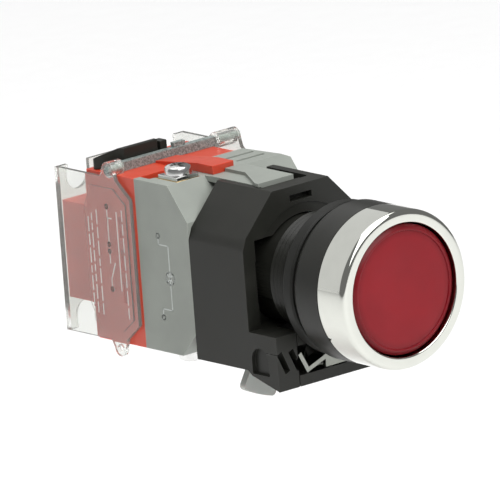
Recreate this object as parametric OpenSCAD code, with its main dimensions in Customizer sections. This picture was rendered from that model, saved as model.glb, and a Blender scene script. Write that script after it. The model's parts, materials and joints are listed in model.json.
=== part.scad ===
// Panel push button with an LED block and a contact block.
// The origin is the centre of the panel hole, on the face that the gasket seals.
// -Y is the front with the button, +Y runs through the panel to the rear, +Z is up.

/* [Panel fit] */
// Diameter of the round hole in the panel
hole_d = 22.3; // [20:0.1:26.8]
// Radial room between the neck and the panel hole
hole_gap = 0.15; // [0.1:0.05:0.4]
// Room for the panel between the gasket and the clamp bracket
panel_room = 2.05; // [2.05:0.05:4]
// Thickness of the rubber gasket
gasket_t = 2.8; // [1.5:0.1:4]
// Diameter of the rubber gasket
gasket_d = 28; // [26.8:0.5:34]

/* [Operator head] */
// Outside diameter of the bezel and of the flange behind it
bezel_d = 29; // [28:0.5:36]
// Length of the bezel
bezel_len = 7.2; // [6.5:0.1:9]
// Length of the black flange behind the bezel
flange_len = 6.5; // [5.5:0.1:8]
// Width of the groove between flange and gasket
groove_len = 1; // [0.6:0.1:1.6]
// Diameter of the lens
lens_d = 23.6; // [21:0.1:24]
// Thickness of the lens
lens_t = 1.4; // [1:0.1:2]
// How far the lens lies behind the front of the bezel
lens_recess = 0.3; // [0.1:0.1:1]
// Travel of the button
travel = 4; // [3:0.1:4.8]
// Length of the neck with the thread
neck_len = 6.85; // [5.5:0.05:8.5]
// Pitch of the thread on the neck
thread_pitch = 1; // [0.8:0.1:1.2]

/* [Blocks] */
// Width of the collar and of both blocks
body_w = 28.7; // [27:0.1:36]
// Height of the collar and of both blocks
body_h = 31.3; // [30:0.1:38]
// Length of the mounting collar
collar_len = 14.9; // [14:0.1:18]
// Length of the LED block
led_len = 14.1; // [13.5:0.1:17]
// Length of the full height part of the contact block
block_len = 13.1; // [12.5:0.1:16]
// Length of the low rear part of the contact block
tail_len = 7; // [6.6:0.1:9]
// Height of the low rear part of the contact block
tail_h = 18; // [17:0.1:20]
// Wall of the moulded housings
wall = 1.4; // [1:0.1:1.6]
// Width of the chamfer on the collar's top corners
corner_w = 7.7; // [4:0.1:9.2]
// Height of the chamfer on the collar's top corners
corner_h = 8.1; // [4:0.1:10.2]

/* [Cover] */
// Thickness of the clear cover
cover_t = 0.8; // [0.6:0.1:1.2]
// Radius of the two knuckles that the cover turns on
knuckle_r = 1.5; // [1.3:0.05:1.8]
// Width of the screwdriver notches in the cover
notch_w = 4.9; // [4.2:0.1:5.8]

/* [Clearances] */
// Radial gap of a sliding or turning fit
run_gap = 0.05; // [0.02:0.01:0.1]
// Gap round a piece that is seated and stays put
seat_gap = 0.1; // [0.05:0.05:0.2]
// Gap between a moving piece and what it passes
pass_gap = 0.35; // [0.3:0.05:0.5]

/* [Hidden] */
$fn = 64;
bite = 1; // how far a cutting shape runs past the face that it cuts

// Radii of the operator head, from the panel hole inward
neck_r = hole_d / 2 - hole_gap;
thread_root_r = neck_r - 0.45;
gasket_seat_r = neck_r - 0.4;
barrel_r = neck_r - 1;
stem_r = barrel_r - 1.55 - run_gap;
stem_in_r = stem_r - 2;
holder_r = stem_in_r - 0.5;
lamp_r = holder_r - 1;
bezel_r = bezel_d / 2;
lens_r = lens_d / 2;
lens_wall = 1.1;
lens_hole_r = lens_r + pass_gap;
spigot_r = lens_hole_r + 1.1;

// Places along the axis of the operator head
y_groove = -gasket_t - groove_len;
y_flange = y_groove - flange_len;
y_bezel = y_flange - bezel_len;
y_lens = y_bezel + lens_recess;
y_spigot = y_bezel + 2.1;
disc_t = 1;
y_disc = y_lens + lens_t + seat_gap;
y_stem = y_disc + disc_t + seat_gap;
stem_flange_t = 1.4;
skirt_len = 6.4;
y_skirt = y_lens + lens_t + skirt_len;
y_floor = y_skirt + travel + 0.5;

// Places along the axis of the collar and the blocks
y_collar = panel_room + 7.36;
y_led = y_collar + collar_len;
y_block = y_led + led_len;
y_shoulder = y_block + block_len;
y_tail = y_shoulder + tail_len;
clip_t = 0.8;
y_barrel_end = y_led - travel - clip_t - 0.2;
y_stem_end = y_barrel_end + clip_t + 1.6;
half_w = body_w / 2;
half_h = body_h / 2;
tail_z = tail_h / 2;

// Collar
pocket_x = barrel_r + 1.5;
pocket_top = 7.7;
pocket_low = 8.8;
y_web = y_collar + 4.2;
lug_t = 2;
lug_r = neck_r - 0.2;
lug_turn = 50;
y_cavity = y_collar + 10.1;
bracket_top = 8.5;
bracket_front_low = half_h + 2.9;
bracket_rear_low = half_h + 0.8;
bracket_hole_r = neck_r + 1.2;
recess_x = 9.4;
recess_low = half_h + 0.85;

// Lock lever
lever_y = y_web + 1;
lever_t = 1.5;
lever_ring_r = barrel_r + 2.2;
lever_reach = half_h + 8;
lever_start = 12;
lever_span = 19;
lever_turn = 38;
lug_y = lever_y + lever_t + 0.4;

// Clamp
screw_tilt = 20;
clamp_r = 1.5;
clamp_tip = [0, panel_room + 1.2, -neck_r - clamp_r - 1.25];

// LED block
led_wall = wall + 0.1;
led_slope_top_z = 9.4;
led_slope_top_y = 4.9;
led_slope_low_z = 11.3;
led_slope_low_y = 3.9;
rear_plate_t = 1.2;
board_y = y_led + 8.3;
board_t = 1.6;
led_screw_x = -9;
led_screw_y = y_led + 7.9;
led_plate_t = 0.75;
screw_r = 1.5;
screw_hole_r = screw_r + run_gap;
head_r = 2.5;
washer_w = 5.2;
washer_t = 0.7;

// Tongues that lock the blocks together at the top
tongue_low_x = -5.45;
tongue_high_x = 2.2;
tongue_t = 0.75;
collar_hook_y = y_collar + 4.2;
hook_end_y = y_led + 3.4;
red_tongue_low_x = -4.5;
red_tongue_high_x = 0.4;
red_tongue_t = 1.6;
red_tongue_z = half_h + 0.05;

// Contact block
front_plate_t = 1.3;
leg_r = stem_r - 1;
leg_w = 2;
leg_h = 5;
bar_y = y_block + front_plate_t + 1.9;
bar_t = 1.4;
post_y = y_block + 0.5;
cage_half = 2.2;
cheek_t = 0.8;
terminal_x = half_w - wall - cage_half - 0.5;
terminal_z = tail_z + 3.2;
strip_t = 0.8;
strip_w = 3;
tip_t = 0.5;
tip_r = 1.2;
tip_z = 5.3;
bridge_t = 0.6;
bridge_w = 2.4;
bridge_z = 6.5;
bridge_ratio = 0.6;
closing_y = y_shoulder - tip_t - bridge_ratio * travel - tip_t - bridge_t;
opening_strip_y = bar_y + bar_t + 1;
opening_y = opening_strip_y + strip_t + 2 * tip_t;
bar_h = 4.4;
guide_r = 2;
guide_y = y_shoulder - 1;
y_guide_end = y_tail - wall - travel - 0.3;

// Cover and the strap that it hangs on
cover_x = half_w + seat_gap;
cover_out_x = cover_x + cover_t;
panel_rise = 0.3;
cover_top = half_h - 0.5;
cover_front_y = y_block + 0.6;
cover_rear_y = y_tail + 0.15;
cover_end_y = cover_rear_y + cover_t;
far_cut_w = 5;
far_cut_h = 3;
strap_y = y_block + 5.6;
strap_w = 1.4;
strap_h = 1.7;
strap_near_x = -half_w + 2.2;
strap_far_x = half_w - 4.2;
hinge_y = strap_y + strap_w / 2;
hinge_z = half_h + strap_h / 2;
hinge_pin_r = 0.65;

// Shapes that lie along the Y axis
module rod(r, y0, y1) {
    rotate([-90, 0, 0]) translate([0, 0, y0]) cylinder(r = r, h = y1 - y0);
}

module ring(r_out, r_in, y0, y1) {
    difference() {
        rod(r_out, y0, y1);
        rod(r_in, y0 - bite, y1 + bite);
    }
}

// points are [radius, y]
module turned(points) {
    rotate([-90, 0, 0]) rotate_extrude() polygon(points);
}

module block(x0, x1, y0, y1, z0, z1) {
    translate([x0, y0, z0]) cube([x1 - x0, y1 - y0, z1 - z0]);
}

// points are [y, z]; the shape runs from x0 to x1
module slab(x0, x1, points) {
    translate([x0, 0, 0]) rotate([90, 0, 90]) linear_extrude(x1 - x0) polygon(points);
}

// points are [x, z]; the shape runs from y0 to y1
module plate(y0, y1, points) {
    translate([0, y1, 0]) rotate([90, 0, 0]) linear_extrude(y1 - y0) polygon(points);
}

module rod_x(r, x0, x1, y, z) {
    translate([x0, y, z]) rotate([0, 90, 0]) cylinder(r = r, h = x1 - x0);
}

module mirrored_z() {
    children();
    mirror([0, 0, 1]) children();
}

module mirrored_x() {
    children();
    mirror([1, 0, 0]) children();
}

// A sector about the Y axis: angles count from -Z towards -X
module sector(r, y0, y1, a0, a1) {
    steps = 8;
    rim = [for (i = [0:steps]) let (a = a0 + (a1 - a0) * i / steps)
        [-r * sin(a) / cos((a1 - a0) / steps / 2), -r * cos(a) / cos((a1 - a0) / steps / 2)]];
    plate(y0, y1, concat([[0, 0]], rim));
}

// A helical spring along Y, as one swept tube
module coil(r, wire_r, y0, y1, turns) {
    sides = 6;
    per_turn = 14;
    rings = turns * per_turn;
    rise = (y1 - y0 - 2 * wire_r) / rings;
    points = [for (i = [0:rings]) for (j = [0:sides - 1])
        let (a = 360 * i / per_turn, b = 360 * j / sides, out = r + wire_r * cos(b))
        [out * cos(a), y0 + wire_r + rise * i + wire_r * sin(b), out * sin(a)]];
    walls = [for (i = [0:rings - 1]) for (j = [0:sides - 1])
        let (k = (j + 1) % sides)
        [i * sides + j, i * sides + k, (i + 1) * sides + k, (i + 1) * sides + j]];
    ends = [[for (j = [sides - 1:-1:0]) j], [for (j = [0:sides - 1]) rings * sides + j]];
    polyhedron(points, concat(walls, ends));
}

// A pan head screw along +Z with its head's seat at z = 0 and its shank below
module screw(shank_r, length, head_r, head_h) {
    difference() {
        union() {
            translate([0, 0, -length]) cylinder(r = shank_r, h = length + 0.1);
            rotate_extrude() polygon([[0, 0], [head_r, 0], [head_r, head_h * 0.55],
                [head_r * 0.78, head_h], [0, head_h]]);
        }
        for (turn = [0, 90]) rotate([0, 0, turn])
            translate([-head_r * 0.7, -0.35, head_h - 0.7]) cube([head_r * 1.4, 0.7, bite + 0.7]);
    }
}

// ---- Operator head ----

module bezel_ring() {
    shoulder = 2.2;
    arc = [for (a = [0:15:90])
        [bezel_r - shoulder + shoulder * cos(a), y_bezel + shoulder - shoulder * sin(a)]];
    color([0.85, 0.86, 0.88]) turned(concat(
        [[spigot_r + seat_gap, y_flange], [bezel_r, y_flange]], arc,
        [[lens_hole_r + 0.25, y_bezel], [lens_hole_r, y_bezel + 0.25],
         [lens_hole_r, y_spigot - seat_gap], [spigot_r + seat_gap, y_spigot - seat_gap]]));
}

module lens_cap() {
    bevel = 0.6;
    color([0.62, 0.08, 0.1, 0.85]) turned([
        [0, y_lens], [lens_r - bevel, y_lens], [lens_r, y_lens + bevel * 0.6], [lens_r, y_skirt],
        [lens_r - lens_wall, y_skirt], [lens_r - lens_wall, y_lens + lens_t], [0, y_lens + lens_t]]);
}

module diffuser_disc() {
    color([0.92, 0.9, 0.88]) rod(lens_r - lens_wall - seat_gap, y_disc, y_disc + disc_t);
}

module button_stem() {
    flange_r = lens_r - lens_wall - seat_gap;
    color([0.85, 0.85, 0.82]) difference() {
        union() {
            rod(flange_r, y_stem, y_stem + stem_flange_t);
            rod(stem_r, y_stem, y_stem_end);
        }
        rod(stem_in_r, y_stem - bite, y_stem_end + bite);
        ring(stem_r + bite, stem_r - 0.5, y_barrel_end, y_barrel_end + clip_t);
    }
}

module return_spring() {
    color([0.7, 0.7, 0.72]) coil(stem_r + 0.95, 0.35, y_stem + stem_flange_t + 0.05, y_floor - 0.05, 5);
}

module retaining_clip() {
    color([0.6, 0.6, 0.62]) difference() {
        ring(stem_r + 1, stem_r - 0.45, y_barrel_end, y_barrel_end + clip_t);
        block(-2, 2, y_barrel_end - bite, y_barrel_end + clip_t + bite, 0, stem_r + 2);
    }
}

module head_body() {
    edge = 0.8;
    crest = thread_pitch * 0.3;
    threads = 4;
    thread = [for (i = [0:threads - 1]) let (y = neck_len - thread_pitch * (threads - i) + 0.2)
        each [[thread_root_r, y], [neck_r, y + crest], [neck_r, y + crest + 0.1],
            [thread_root_r, y + 2 * crest + 0.1]]];
    color([0.1, 0.1, 0.1]) difference() {
        union() {
            turned(concat(
                [[stem_r + run_gap, y_floor], [lens_hole_r, y_floor], [lens_hole_r, y_spigot],
                 [spigot_r, y_spigot], [spigot_r, y_flange], [bezel_r, y_flange],
                 [bezel_r, y_groove - edge], [bezel_r - edge * 0.3, y_groove - edge * 0.3],
                 [bezel_r - edge, y_groove], [bezel_r - 1.2, y_groove],
                 [bezel_r - 1.2, -gasket_t], [gasket_seat_r, -gasket_t], [gasket_seat_r, 0], [neck_r, 0],
                 [neck_r, neck_len - thread_pitch * threads]], thread,
                [[thread_root_r, neck_len], [barrel_r, neck_len], [barrel_r, y_barrel_end],
                 [stem_r + run_gap, y_barrel_end]]));
            intersection() {
                ring(lug_r, barrel_r - 0.5, lug_y, lug_y + lug_t);
                mirrored_x() rotate([0, -90, 0]) sector(lug_r + 4, lug_y, lug_y + lug_t, -20, 20);
            }
        }
    }
}

module panel_gasket() {
    color([0.13, 0.13, 0.13]) turned([
        [neck_r + seat_gap / 2, -gasket_t], [gasket_d / 2 - 0.3, -gasket_t],
        [gasket_d / 2, -gasket_t + 0.3], [gasket_d / 2, -0.5], [gasket_d / 2 - 0.5, 0],
        [neck_r + seat_gap / 2, 0]]);
}

// ---- Mounting collar ----

// The chamfer's lower edge is eased into the side
module collar_outline() {
    ease = 1.3;
    low = half_h - corner_h;
    slope = ease / norm([corner_w, corner_h]);
    eased = [half_w - corner_w * slope, low + corner_h * slope];
    plate(y_collar, y_led, [[-half_w, -half_h], [half_w, -half_h], [half_w, low - ease], eased,
        [half_w - corner_w, half_h], [-half_w + corner_w, half_h], [-eased[0], eased[1]],
        [-half_w, low - ease]]);
}

module bracket_outline() {
    slab(-half_w, half_w, [[panel_room, -bracket_top], [y_collar + bite, -bracket_top],
        [y_collar + bite, -half_h], [y_collar, -bracket_rear_low], [panel_room, -bracket_front_low]]);
}

// Slots and hollows on one side of the clamp bracket
module bracket_side_cuts() {
    slot = 1.2;
    for (x = [-half_w + 0.3, -half_w + 3]) translate([x, panel_room, -half_h + 3.2])
        rotate([0, -24, 0]) translate([0, -bite, -3.4]) cube([slot, 3 + bite, 4.2]);
    rod_x(2.3, -half_w - bite, -half_w + 0.8, y_collar - 2.6, -half_h + 2.2);
    block(-half_w - bite, -half_w + 0.8, y_collar - 4.9, y_collar - 0.3, -half_h - 0.4, -half_h + 2.2);
    block(-recess_x - 0.2, -recess_x, panel_room - bite, panel_room + 0.5,
        -bracket_front_low - bite, -bracket_top + bite);
}

// Two ways for the bayonet lugs, turned from the X axis
module lug_channel(turn, y0, y1) {
    intersection() {
        rod(lug_r + pass_gap, y0, y1);
        rotate([0, turn, 0]) mirrored_x() rotate([0, -90, 0]) sector(lug_r + 6, y0, y1, -24, 24);
    }
}

module mounting_collar() {
    color([0.09, 0.09, 0.09]) difference() {
        union() {
            collar_outline();
            bracket_outline();
        }
        // Pocket round the barrel, the web's bore and the bayonet channel
        block(-pocket_x, pocket_x, y_collar - bite, y_web, -pocket_low, pocket_top);
        rod(barrel_r + pass_gap, y_collar - bite, y_led + bite);
        rod(lug_r + pass_gap, lug_y - pass_gap, lug_y + lug_t + pass_gap);
        lug_channel(lug_turn, y_web - bite, lug_y + lug_t);
        // Round seat of the lock lever and the slot that its tab turns in
        rod(lever_ring_r + pass_gap, lever_y - 0.2, lever_y + lever_t + 0.2);
        sector(lever_reach + 6, lever_y - 0.2, lever_y + lever_t + 0.2,
            lever_start - lever_turn - 2.5, lever_start + lever_span + 2.5);
        // Rear hollow for the transfer fork
        block(-barrel_r - 1, barrel_r + 1, y_cavity, y_led + bite, -barrel_r - 1, barrel_r + 1);
        // Notch for the LED block's hook and the slot above the button
        block(-5.6, 5, collar_hook_y - 0.5, y_led + bite, half_h - 2.3, half_h + bite);
        block(-2.6, 2.6, y_collar - bite, y_collar + 1.6, half_h - 2.8, half_h - 1.6);
        block(3, 4.6, collar_hook_y - 0.8, collar_hook_y - 0.5 + bite, half_h - 1.6, half_h + bite);
        // Room for the panel, and the recess of the clamp
        rod(bracket_hole_r, panel_room - bite, y_collar + 0.2);
        block(-recess_x, recess_x, panel_room - bite, y_collar - 1.2, -recess_low, -half_h + 4.6);
        mirrored_x() bracket_side_cuts();
        translate(clamp_tip) rotate([-90 - screw_tilt, 0, 0]) cylinder(r = head_r + 0.5, h = 16);
    }
}

module lock_lever() {
    color([0.8, 0.81, 0.78]) difference() {
        union() {
            ring(lever_ring_r, barrel_r + pass_gap, lever_y, lever_y + lever_t);
            intersection() {
                sector(lever_reach + 6, lever_y, lever_y + lever_t,
                    lever_start, lever_start + lever_span);
                ring(lever_reach, lever_ring_r - 0.4, lever_y, lever_y + lever_t);
            }
        }
        // Lets the lugs through once the lever is turned
        lug_channel(lug_turn + lever_turn, lever_y - bite, lever_y + lever_t + bite);
    }
}

// A straight strip in the XZ plane from point p to point q
module strip_xz(p, q, thick, y0, y1) {
    run = norm(q - p);
    translate([p[0], y0, p[1]]) rotate([0, -atan2(q[1] - p[1], q[0] - p[0]), 0])
        translate([-thick / 2, 0, -thick / 2]) cube([run + thick, y1 - y0, thick]);
}

module clamp_plate() {
    thick = 0.8;
    low = -recess_low + thick / 2 + 0.15;
    path = [[-recess_x + 0.7, low + 3], [-recess_x + 2.2, low], [-3, low + 1.5], [3, low + 1.5],
        [recess_x - 2.2, low], [recess_x - 0.7, low + 3]];
    tab_y = panel_room + 0.25;
    color([0.75, 0.75, 0.76]) difference() {
        union() {
            for (i = [0:4]) strip_xz(path[i], path[i + 1], thick, tab_y, tab_y + 3);
            block(-3, 3, tab_y, tab_y + thick, low - thick / 2, -half_h + 3.4);
        }
        translate(clamp_tip) rotate([-90 - screw_tilt, 0, 0]) cylinder(r = clamp_r + 0.3, h = 16);
    }
}

module clamp_screw() {
    length = 5.4;
    color([0.72, 0.72, 0.73]) translate(clamp_tip) rotate([-90 - screw_tilt, 0, 0])
        translate([0, 0, length]) screw(clamp_r, length, head_r, 1.6);
}

module clamp_nut() {
    half = 2.3;
    color([0.68, 0.68, 0.7]) translate(clamp_tip) rotate([-90 - screw_tilt, 0, 0])
        difference() {
            translate([-half, -half + 0.4, 3.2]) cube([2 * half, 2 * half - 0.8, 1.8]);
            translate([0, 0, 2]) cylinder(r = clamp_r + run_gap, h = 4);
        }
}

// ---- LED block ----

module led_outline(inset, x0, x1) {
    front = y_led + inset;
    slack = inset * 0.6;
    slab(x0, x1, [[front, -led_slope_low_z + slack], [front, led_slope_top_z - slack],
        [y_led + led_slope_top_y + slack, half_h - inset], [y_block - inset, half_h - inset],
        [y_block - inset, -half_h + inset], [y_led + led_slope_low_y + slack, -half_h + inset]]);
}

// Hollow under a terminal screw's plate, and the wire's way to it from behind
module led_terminal_cut() {
    x = led_screw_x;
    y = led_screw_y;
    block(x - 2.8, x + 2.8, y - 2.8, y + 3.6, half_h - led_plate_t, half_h + bite);
    translate([x, y, half_h - 3]) cylinder(r = screw_r + 0.4, h = 4);
    block(x - 1.6, x + 1.6, y + 2.7, y + 3.6, half_h - 3, half_h);
    block(-half_w + led_wall, x + 2.8, y + 3.5, y_block + bite, half_h - 3, half_h + bite);
}

module led_housing() {
    groove = 0.5;
    color([0.6, 0.62, 0.6]) difference() {
        union() {
            difference() {
                led_outline(0, -half_w, half_w);
                led_outline(led_wall, -half_w + led_wall, half_w - led_wall);
            }
            // Hook that reaches over the collar and folds down into its notch
            block(tongue_low_x, tongue_high_x, collar_hook_y, hook_end_y, half_h - 1, half_h + 0.1);
            translate([0, 0, half_h + 0.05]) linear_extrude(tongue_t - 0.05) polygon([
                [tongue_low_x - 0.6, collar_hook_y], [tongue_high_x, collar_hook_y],
                [tongue_high_x, hook_end_y], [tongue_low_x + 3.6, hook_end_y],
                [tongue_low_x + 3.6, collar_hook_y + 8.5], [tongue_low_x - 0.6, collar_hook_y + 1]]);
            block(tongue_low_x, tongue_high_x, y_led + 2, y_led + led_slope_top_y + 1,
                half_h - 1, half_h);
            block(tongue_low_x, tongue_high_x, collar_hook_y, collar_hook_y + 1, half_h - 2,
                half_h + 0.1);
        }
        rod(stem_r + pass_gap + 0.1, y_led - bite, y_led + led_wall + bite);
        block(-half_w + led_wall, half_w - led_wall, y_block - led_wall - bite, y_block + bite,
            -half_h + led_wall, half_h - led_wall);
        mirrored_z() led_terminal_cut();
        for (y = [y_led + 7.3, y_led + 10.3])
            block(4.5, half_w - 3.3, y, y + 0.9, half_h - groove, half_h + bite);
        // Far top edge, cut back a little more towards the rear
        hull() for (end = [[y_led, 0.5], [y_block + bite, 1.5]])
            plate(end[0], end[0] + 0.01, [[half_w + bite, half_h + bite],
                [half_w + bite, half_h - end[1] - bite / 2],
                [half_w - 2 * end[1] - 2 * bite, half_h + bite]]);
    }
}

module led_rear_plate() {
    x = half_w - led_wall - seat_gap;
    z = half_h - led_wall - seat_gap;
    color([0.58, 0.6, 0.58]) difference() {
        block(-x, x, y_block - rear_plate_t, y_block, -z, z);
        fork_slots(y_block - rear_plate_t);
    }
}

// Holes for the two legs of the transfer fork, through what starts at y
module fork_slots(y) {
    mirrored_x() block(leg_r - leg_w / 2 - pass_gap, leg_r + leg_w / 2 + pass_gap,
        y - bite, y + board_t + bite, -leg_h / 2 - pass_gap, leg_h / 2 + pass_gap);
}

module led_board() {
    x = half_w - led_wall - 0.4;
    color([0.12, 0.36, 0.2]) difference() {
        block(-x, x, board_y, board_y + board_t, -half_h + 5.2, half_h - 5.2);
        fork_slots(board_y);
    }
}

module led_resistors() {
    y = board_y + board_t + 1.1;
    color([0.75, 0.65, 0.45]) for (z = [-4.5, 4.5]) rod_x(1, -3, 3, y, z);
    color([0.7, 0.7, 0.7]) for (z = [-4.5, 4.5]) rod_x(0.35, -4.4, 4.4, y, z);
}

module led_capacitor() {
    color([0.55, 0.35, 0.15]) block(-3.5, 3.5, board_y + board_t, board_y + board_t + 2.1, -2, 2);
}

module lamp_holder() {
    color([0.93, 0.93, 0.9]) difference() {
        union() {
            rod(holder_r, y_led - 10, board_y);
            block(-holder_r, holder_r, board_y - 1, board_y, -7.5, 7.5);
        }
        rod(lamp_r + seat_gap, y_led - 10 - bite, board_y - 1.4);
    }
}

module led_lamp() {
    tip_y = y_stem_end - 26;
    dome = [for (a = [0:15:90]) [lamp_r * sin(a), tip_y + lamp_r * (1 - cos(a))]];
    color([0.95, 0.9, 0.86]) turned(concat(dome, [[lamp_r, board_y - 1.5], [0, board_y - 1.5]]));
}

// Brass plate under one LED terminal screw, bent down to the board
module led_terminal() {
    x = led_screw_x;
    y = led_screw_y;
    difference() {
        union() {
            block(x - 2.7, x + 2.7, y - 2.7, y + 3.5, half_h - led_plate_t, half_h);
            block(x - 1.5, x + 1.5, y + 2.8, y + 3.5, half_h - 8, half_h - 0.1);
        }
        translate([x, y, half_h - 2]) cylinder(r = screw_hole_r, h = 4);
    }
}

module led_terminals() {
    color([0.78, 0.68, 0.4]) mirrored_z() led_terminal();
}

module led_clamp_washers() {
    color([0.85, 0.86, 0.86]) mirrored_z() difference() {
        translate([led_screw_x - washer_w / 2, led_screw_y - washer_w / 2, half_h])
            cube([washer_w, washer_w, washer_t]);
        translate([led_screw_x, led_screw_y, half_h - bite]) cylinder(r = screw_hole_r, h = 4);
    }
}

module led_terminal_screws() {
    color([0.8, 0.8, 0.8]) mirrored_z() translate([led_screw_x, led_screw_y, half_h + washer_t])
        screw(screw_r, 4, head_r, 1.7);
}

module transfer_fork() {
    color([0.9, 0.9, 0.88]) union() {
        ring(stem_r, stem_in_r, y_stem_end, y_stem_end + 1.5);
        mirrored_x() block(leg_r - leg_w / 2 + 0.05, leg_r + leg_w / 2 - 0.15,
            y_stem_end + 1.4, post_y, -leg_h / 2, leg_h / 2);
    }
}

// ---- Contact block ----

// Slots that the fixed strips pass through, in the upper half
module strip_slots() {
    side = strip_w / 2 + seat_gap;
    block(-terminal_x - side, -terminal_x + side, y_shoulder, y_shoulder + strip_t + seat_gap,
        tail_z - wall - bite, tail_z + bite);
    block(terminal_x - side, terminal_x + side, y_shoulder - wall - bite, y_shoulder + bite,
        tail_z + 0.2, tail_z + 0.4 + strip_t);
}

module contact_housing() {
    color([0.85, 0.3, 0.22]) difference() {
        union() {
            plate(y_block, y_shoulder, [[-half_w, -half_h], [half_w, -half_h], [half_w, half_h - far_cut_h],
                [half_w - far_cut_w, half_h], [-half_w, half_h]]);
            block(-half_w, half_w, y_shoulder - bite, y_tail, -tail_z, tail_z);
            mirrored_z() block(-1, 1, y_shoulder - bite, y_tail - 0.8, tail_z - bite, half_h - 0.6);
            // Tongue that locks over the LED block
            slab(red_tongue_low_x, red_tongue_high_x, [
                [hook_end_y + 0.2, red_tongue_z], [hook_end_y + 0.2, red_tongue_z + red_tongue_t],
                [y_led + 8, red_tongue_z + red_tongue_t], [strap_y - 0.2, half_h + 0.4],
                [strap_y - 0.2, half_h - bite], [y_block, half_h - bite], [y_block, red_tongue_z]]);
        }
        // Hollows for the cover's knuckles
        rod_x(knuckle_r + 0.2, -half_w - bite, strap_near_x, hinge_y, hinge_z);
        rod_x(knuckle_r + 0.2, strap_far_x, half_w + bite, hinge_y, hinge_z);
        block(-half_w + wall, half_w - wall, y_block - bite, y_shoulder - wall,
            -half_h + wall, half_h - wall);
        block(-half_w + wall, half_w - wall, y_block, y_tail - wall,
            -tail_z + wall, tail_z - wall);
        mirrored_z() strip_slots();
        mirrored_z() mirrored_x() translate([terminal_x, 0, terminal_z])
            rod(screw_r + 0.4, y_shoulder - wall - bite, y_shoulder + bite);
        // Moulded recesses on both sides
        mirrored_x() for (z = [-6, 0, 6])
            block(half_w - 0.5, half_w + bite, y_block + 3, y_block + 4.6, z - 2, z + 2);
    }
    color([0.85, 0.3, 0.22]) difference() {
        rod(guide_r + 1.8, guide_y, y_tail - wall);
        rod(guide_r + run_gap, guide_y - bite, y_tail);
    }
}

module contact_front_plate() {
    x = half_w - wall - seat_gap;
    z = half_h - wall - seat_gap;
    color([0.8, 0.28, 0.2]) difference() {
        block(-x, x, y_block, y_block + front_plate_t, -z, z);
        fork_slots(y_block);
    }
}

// Two cheeks and an end wall that hold one bridge; side is -1 or 1
module carrier_cage(side, y1) {
    x = side * terminal_x;
    for (x0 = [x - cage_half, x + cage_half - cheek_t])
        block(x0, x0 + cheek_t, bar_y + bar_t - 0.1, y1, -bar_h / 2, bar_h / 2);
    block(x - cage_half, x + cage_half, y1 - 0.9, y1, -bar_h / 2, bar_h / 2);
}

module contact_carrier() {
    reach = terminal_x + cage_half;
    opening_front = opening_y - 0.05;
    color([0.93, 0.93, 0.9]) union() {
        block(-reach, reach, bar_y, bar_y + bar_t, -bar_h / 2, bar_h / 2);
        mirrored_x() block(leg_r - leg_w / 2, leg_r + leg_w / 2, post_y, bar_y + 0.1,
            -bar_h / 2, bar_h / 2);
        carrier_cage(-1, closing_y + bridge_t + 0.9);
        carrier_cage(1, opening_y + bridge_t + 3.9);
        block(terminal_x - cage_half, terminal_x + cage_half, bar_y + bar_t - 0.1, opening_front,
            -bar_h / 2, bar_h / 2);
        rod(guide_r, bar_y + bar_t - 0.1, y_guide_end);
    }
}

module carrier_spring() {
    color([0.7, 0.7, 0.72]) coil(guide_r + 0.75, 0.3, bar_y + bar_t + 0.05, guide_y - 0.05, 4);
}

// A bridge across the two fixed contacts, with its tips on the side given by tip_y
module bridge(x, y, tip_y) {
    color([0.8, 0.66, 0.4]) union() {
        block(x - bridge_w / 2, x + bridge_w / 2, y, y + bridge_t, -bridge_z, bridge_z);
        for (z = [-tip_z, tip_z]) translate([x, 0, z]) rod(tip_r, tip_y, tip_y + tip_t + 0.05);
    }
}

module closing_bridge() {
    bridge(-terminal_x, closing_y, closing_y + bridge_t - 0.05);
}

module opening_bridge() {
    bridge(terminal_x, opening_y, opening_y - tip_t);
}

module closing_spring() {
    color([0.7, 0.7, 0.72]) translate([-terminal_x, 0, 0])
        coil(0.8, 0.2, bar_y + bar_t + 0.05, closing_y - 0.05, 4);
}

module opening_spring() {
    color([0.7, 0.7, 0.72]) translate([terminal_x, 0, 0])
        coil(0.8, 0.2, opening_y + bridge_t + 0.05, opening_y + bridge_t + 2.95, 3);
}

// Part of a fixed contact that lies under the terminal screw
module terminal_pad(x) {
    difference() {
        block(x - 2.5, x + 2.5, y_shoulder, y_shoulder + strip_t, tail_z + 0.3, half_h - 1);
        translate([x, 0, terminal_z]) rod(screw_hole_r, y_shoulder - bite, y_shoulder + 2);
    }
}

module closing_contacts() {
    color([0.78, 0.68, 0.4]) mirrored_z() {
        terminal_pad(-terminal_x);
        block(-terminal_x - strip_w / 2, -terminal_x + strip_w / 2, y_shoulder,
            y_shoulder + strip_t, tip_z - 1.2, tail_z + 0.4);
        translate([-terminal_x, 0, tip_z]) rod(tip_r, y_shoulder - tip_t, y_shoulder + 0.05);
    }
}

module opening_contacts() {
    x0 = terminal_x - strip_w / 2;
    x1 = terminal_x + strip_w / 2;
    low = tail_z + 0.3;
    color([0.78, 0.68, 0.4]) mirrored_z() {
        terminal_pad(terminal_x);
        block(x0, x1, opening_strip_y, y_shoulder + 0.1, low, low + strip_t - 0.1);
        block(x0, x1, opening_strip_y, opening_strip_y + strip_t, tip_z - 1.2, low + strip_t - 0.1);
        translate([terminal_x, 0, tip_z])
            rod(tip_r, opening_strip_y + strip_t - 0.05, opening_strip_y + strip_t + tip_t);
    }
}

module contact_clamp_washers() {
    side = 2.4;
    y = y_shoulder + strip_t;
    color([0.82, 0.83, 0.84]) mirrored_z() mirrored_x() difference() {
        block(terminal_x - side, terminal_x + side, y, y + washer_t,
            terminal_z - side + 0.3, terminal_z + side);
        translate([terminal_x, 0, terminal_z]) rod(screw_hole_r, y - bite, y + 2);
    }
}

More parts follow.
